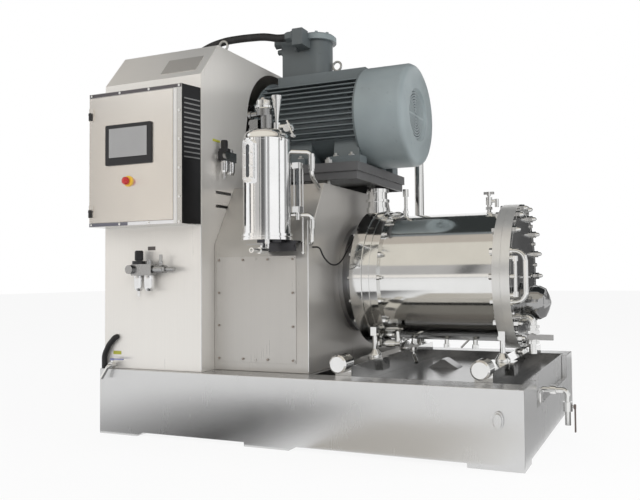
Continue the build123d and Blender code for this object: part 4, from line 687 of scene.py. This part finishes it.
def bead(name, node, top):
    # a dressed weld along the right front corner of a sheet piece, in the bright trim steel as a painted
    # highlight on the corner
    low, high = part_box(node)
    x, y = high.x - weld["inset"], low.y + weld["inset"]
    sides, radius = weld["sides"], weld["radius"]
    ring = [(x + radius * cos(2 * pi * k / sides), y + radius * sin(2 * pi * k / sides)) for k in range(sides)]
    points = [(px, py, z) for z in (low.z + weld["foot"], top) for px, py in ring]
    faces = [tuple(range(sides))[::-1], tuple(range(sides, 2 * sides))]
    faces += [(k, (k + 1) % sides, (k + 1) % sides + sides, k + sides) for k in range(sides)]
    piece = newPiece(name, closedMesh(name, points, faces), "trimBright", "frame", weld["smooth"])


bead("hoodCorner", "belt_guard_hood", weld["hoodTop"])
bead("pedestalCorner", "pedestal", weld["pedestalTop"])
print("front dressed")


# Camera, floor and light

view = {"place": (1.5415, -3.5732, 0.7876), "yaw": 0.39343, "pitch": 0.03529, "roll": -0.009986,
        "focal": 716.9, "centre": (370, 250), "frame": (640, 500), "sensor": 36, "far": 200}


def addCamera():
    yaw, pitch, roll = view["yaw"], view["pitch"], view["roll"]
    wide, high = view["frame"]
    forward = Vector((-sin(yaw) * cos(pitch), cos(yaw) * cos(pitch), sin(pitch)))
    level = Vector((cos(yaw), sin(yaw), 0))
    upright = level.cross(forward)
    right = level * cos(roll) + upright * sin(roll)
    up = upright * cos(roll) - level * sin(roll)
    data = bpy.data.cameras.new("camera")
    data.sensor_width = view["sensor"]
    data.lens = view["focal"] / wide * view["sensor"]
    data.shift_x = -(view["centre"][0] - wide / 2) / wide
    data.shift_y = (view["centre"][1] - high / 2) / wide
    data.clip_end = view["far"]
    camera = bpy.data.objects.new("camera", data)
    turn = Matrix((right, up, -forward)).transposed()
    camera.matrix_world = Matrix.Translation(view["place"]) @ turn.to_4x4()
    scene.collection.objects.link(camera)
    scene.camera = camera


def seenDirectly(plan):
    # 1 where the camera, a mirror or glass looks, 0 for the light that falls on the object
    path = plan.add("ShaderNodeLightPath", out="Is Camera Ray")
    most = path
    for ray in ("Is Glossy Ray", "Is Transmission Ray"):
        most = most.maths("MAXIMUM", path.output(ray))
    return most


def flatSheet(name, width, depth):
    w, d = width / 2, depth / 2
    mesh = bpy.data.meshes.new(name)
    mesh.from_pydata([(-w, -d, 0), (w, -d, 0), (w, d, 0), (-w, d, 0)], [], [(0, 1, 2, 3)])
    sheet = bpy.data.objects.new(name, mesh)
    scene.collection.objects.link(sheet)
    return sheet


floorLook = {"size": 60, "pale": 0.90, "paler": 0.94, "speckle": 40.0, "rough": 0.9, "share": 0.86}


def addFloor():
    floor = flatSheet("floor", floorLook["size"], floorLook["size"])
    paint = Paint("paleFloor")
    speckle = paint.noise(floorLook["speckle"], 3.0)
    paint.set(colour=paint.mix(speckle, grey(floorLook["pale"]), grey(floorLook["paler"])),
              roughness=floorLook["rough"], specular=0.0)
    glow = paint.add("ShaderNodeEmission")
    share = seenDirectly(paint) * floorLook["share"]
    blend = paint.add("ShaderNodeMixShader", None, {0: share, 1: paint.shader, 2: glow})
    paint.feed(paint.end.node.inputs[0], blend)
    floor.data.materials.append(paint.material)


# Reflection cards, which only polished and brushed metal sees: one tone, or stops from their left to right
cards = {
    "ceilingDark": {"place": (0.5, 1.39, 3.5), "size": (8, 3.62), "tone": (0.04, 0.045, 0.045)},
    "ceilingBlue": {"place": (0.5, -0.53, 3.49), "size": (8, 0.22), "tone": (0.22, 0.24, 0.25)},
    "ceilingWarm": {"place": (0.5, -1.07, 3.5), "size": (8, 0.88), "tone": (0.56, 0.51, 0.45)},
    "ceilingCream": {"place": (0.5, -4.75, 3.8), "size": (10, 6.5), "tone": (0.78, 0.74, 0.66)},
    "frontGrey": {"place": (-1.8, -8.2, 2.7), "size": (5.0, 2.6), "turn": (90, 0, 0), "tone": (0.52, 0.51, 0.50)},
    "frontDark": {"place": (0.85, -4.6, 1.9), "size": (1.7, 1.5), "turn": (90, 0, 12),
                  "stops": [(0, grey(0.10)), (0.6, grey(0.16)), (0.85, grey(0.5))]},
    "floorShade": {"place": (-0.95, -1.30, 0.003), "size": (1.9, 1.15),
                   "stops": [(0, grey(0.95)), (0.38, grey(0.45)), (0.72, grey(0.03)), (0.84, grey(0.30)),
                             (0.97, grey(0.9))]},
    "floorWarm": {"place": (0.45, -1.15, 0.003), "size": (0.9, 0.75),
                  "stops": [(0, (0.50, 0.47, 0.42)), (0.6, (0.60, 0.57, 0.52)), (1, (0.95, 0.94, 0.92))]},
    "floorRight": {"place": (2.1, 1.3, 0.003), "size": (2.1, 4.2), "tone": grey(0.46)},
    "backRight": {"place": (4.4, 6.0, 2.1), "size": (8.0, 4.4), "turn": (90, 0, 0),
                  "stops": [(0, grey(0.08)), (0.22, grey(0.10)), (0.30, grey(0.72)), (1, grey(0.84))]},
    "backStrip": {"place": (4.9, 5.9, 1.95), "size": (5.2, 0.8), "turn": (90, 0, 0), "tone": grey(0.16)},
    "frontPale": {"place": (2.18, -3.92, 1.75), "size": (0.72, 1.3), "turn": (90, 0, 36), "tone": grey(0.40)},
    "sideGrey": {"place": (4.68, 2.85, 2.0), "size": (1.5, 1.6), "turn": (90, 0, 126), "tone": grey(0.34)},
    "farGrey": {"place": (-12, -24, 0.27), "size": (40, 0.56), "turn": (90, 0, 0), "tone": (0.60, 0.59, 0.59)},
    "farCream": {"place": (-12, -24.1, 4.2), "size": (40, 7.6), "turn": (90, 0, 0), "tone": (0.98, 0.94, 0.89)},
    "leftBar": {"place": (-3.6, -3.0, 1.9), "size": (0.6, 1.4), "turn": (90, 0, -56), "tone": grey(0.10)},
    "leftSlim": {"place": (-2.6, -4.3, 1.9), "size": (0.30, 1.4), "turn": (90, 0, -34), "tone": grey(0.12)},
    "frontSlim": {"place": (-0.55, -4.8, 1.9), "size": (0.22, 1.4), "turn": (90, 0, -6), "tone": grey(0.12)},
    "sideDark": {"place": (5.0, -0.75, 1.6), "size": (0.55, 3.2), "turn": (90, 0, 90), "tone": grey(0.20)},
}


def addCard(name, card):
    sheet = flatSheet(name, *card["size"])
    sheet.location = card["place"]
    sheet.rotation_euler = [radians(angle) for angle in card.get("turn", (0, 0, 0))]
    paint = Paint(name + "Paint")
    across = paint.axis("X") / card["size"][0] + 0.5
    stops = card.get("stops") or [(0, card["tone"])]
    tone = paint.add("ShaderNodeValToRGB", {"stops": stops}, {0: across})
    paint.set(colour=(0, 0, 0), roughness=1.0, specular=0.0, glow=tone, glowStrength=1.0)
    sheet.data.materials.append(paint.material)
    sheet.visible_camera = False
    sheet.visible_shadow = False
    sheet.visible_diffuse = False
    sheet.visible_transmission = False


lamps = {
    "keyBox": {"place": (3.2, -6.0, 4.6), "aim": (0, 0, 1), "size": (3.5, 3.0), "power": 150},
    "fillBox": {"place": (-5.5, -4.5, 3.2), "aim": (0, 0, 1), "size": (3.0, 3.0), "power": 60},
    "sideBox": {"place": (5.8, 0.6, 2.2), "aim": (0, 0, 0.9), "size": (3.0, 2.6), "power": 130},
}


def addLamp(name, lamp):
    data = bpy.data.lights.new(name, "AREA")
    data.shape = "RECTANGLE"
    data.size, data.size_y = lamp["size"]
    data.energy = lamp["power"]
    box = bpy.data.objects.new(name, data)
    box.location = lamp["place"]
    box.rotation_euler = (Vector(lamp["aim"]) - Vector(lamp["place"])).to_track_quat("-Z", "Y").to_euler()
    box.visible_glossy = False  # the cards are what metal reflects
    scene.collection.objects.link(box)


def addWorld(level=0.62):
    world = bpy.data.worlds.new("studio")
    scene.world = world
    world.use_nodes = True
    plan = Plan(world.node_tree)
    plan.tree.nodes.clear()
    plain = plan.add("ShaderNodeBackground", None, {0: grey(1), 1: level})
    white = plan.add("ShaderNodeBackground", None, {0: grey(1)})
    blend = plan.add("ShaderNodeMixShader", None, {0: seenDirectly(plan), 1: plain, 2: white})
    plan.add("ShaderNodeOutputWorld", None, {0: blend})


addCamera()
addFloor()
addWorld()
for name, card in cards.items():
    addCard(name, card)
for name, lamp in lamps.items():
    addLamp(name, lamp)
print("camera and lights set")

scene.view_settings.view_transform = "Standard"
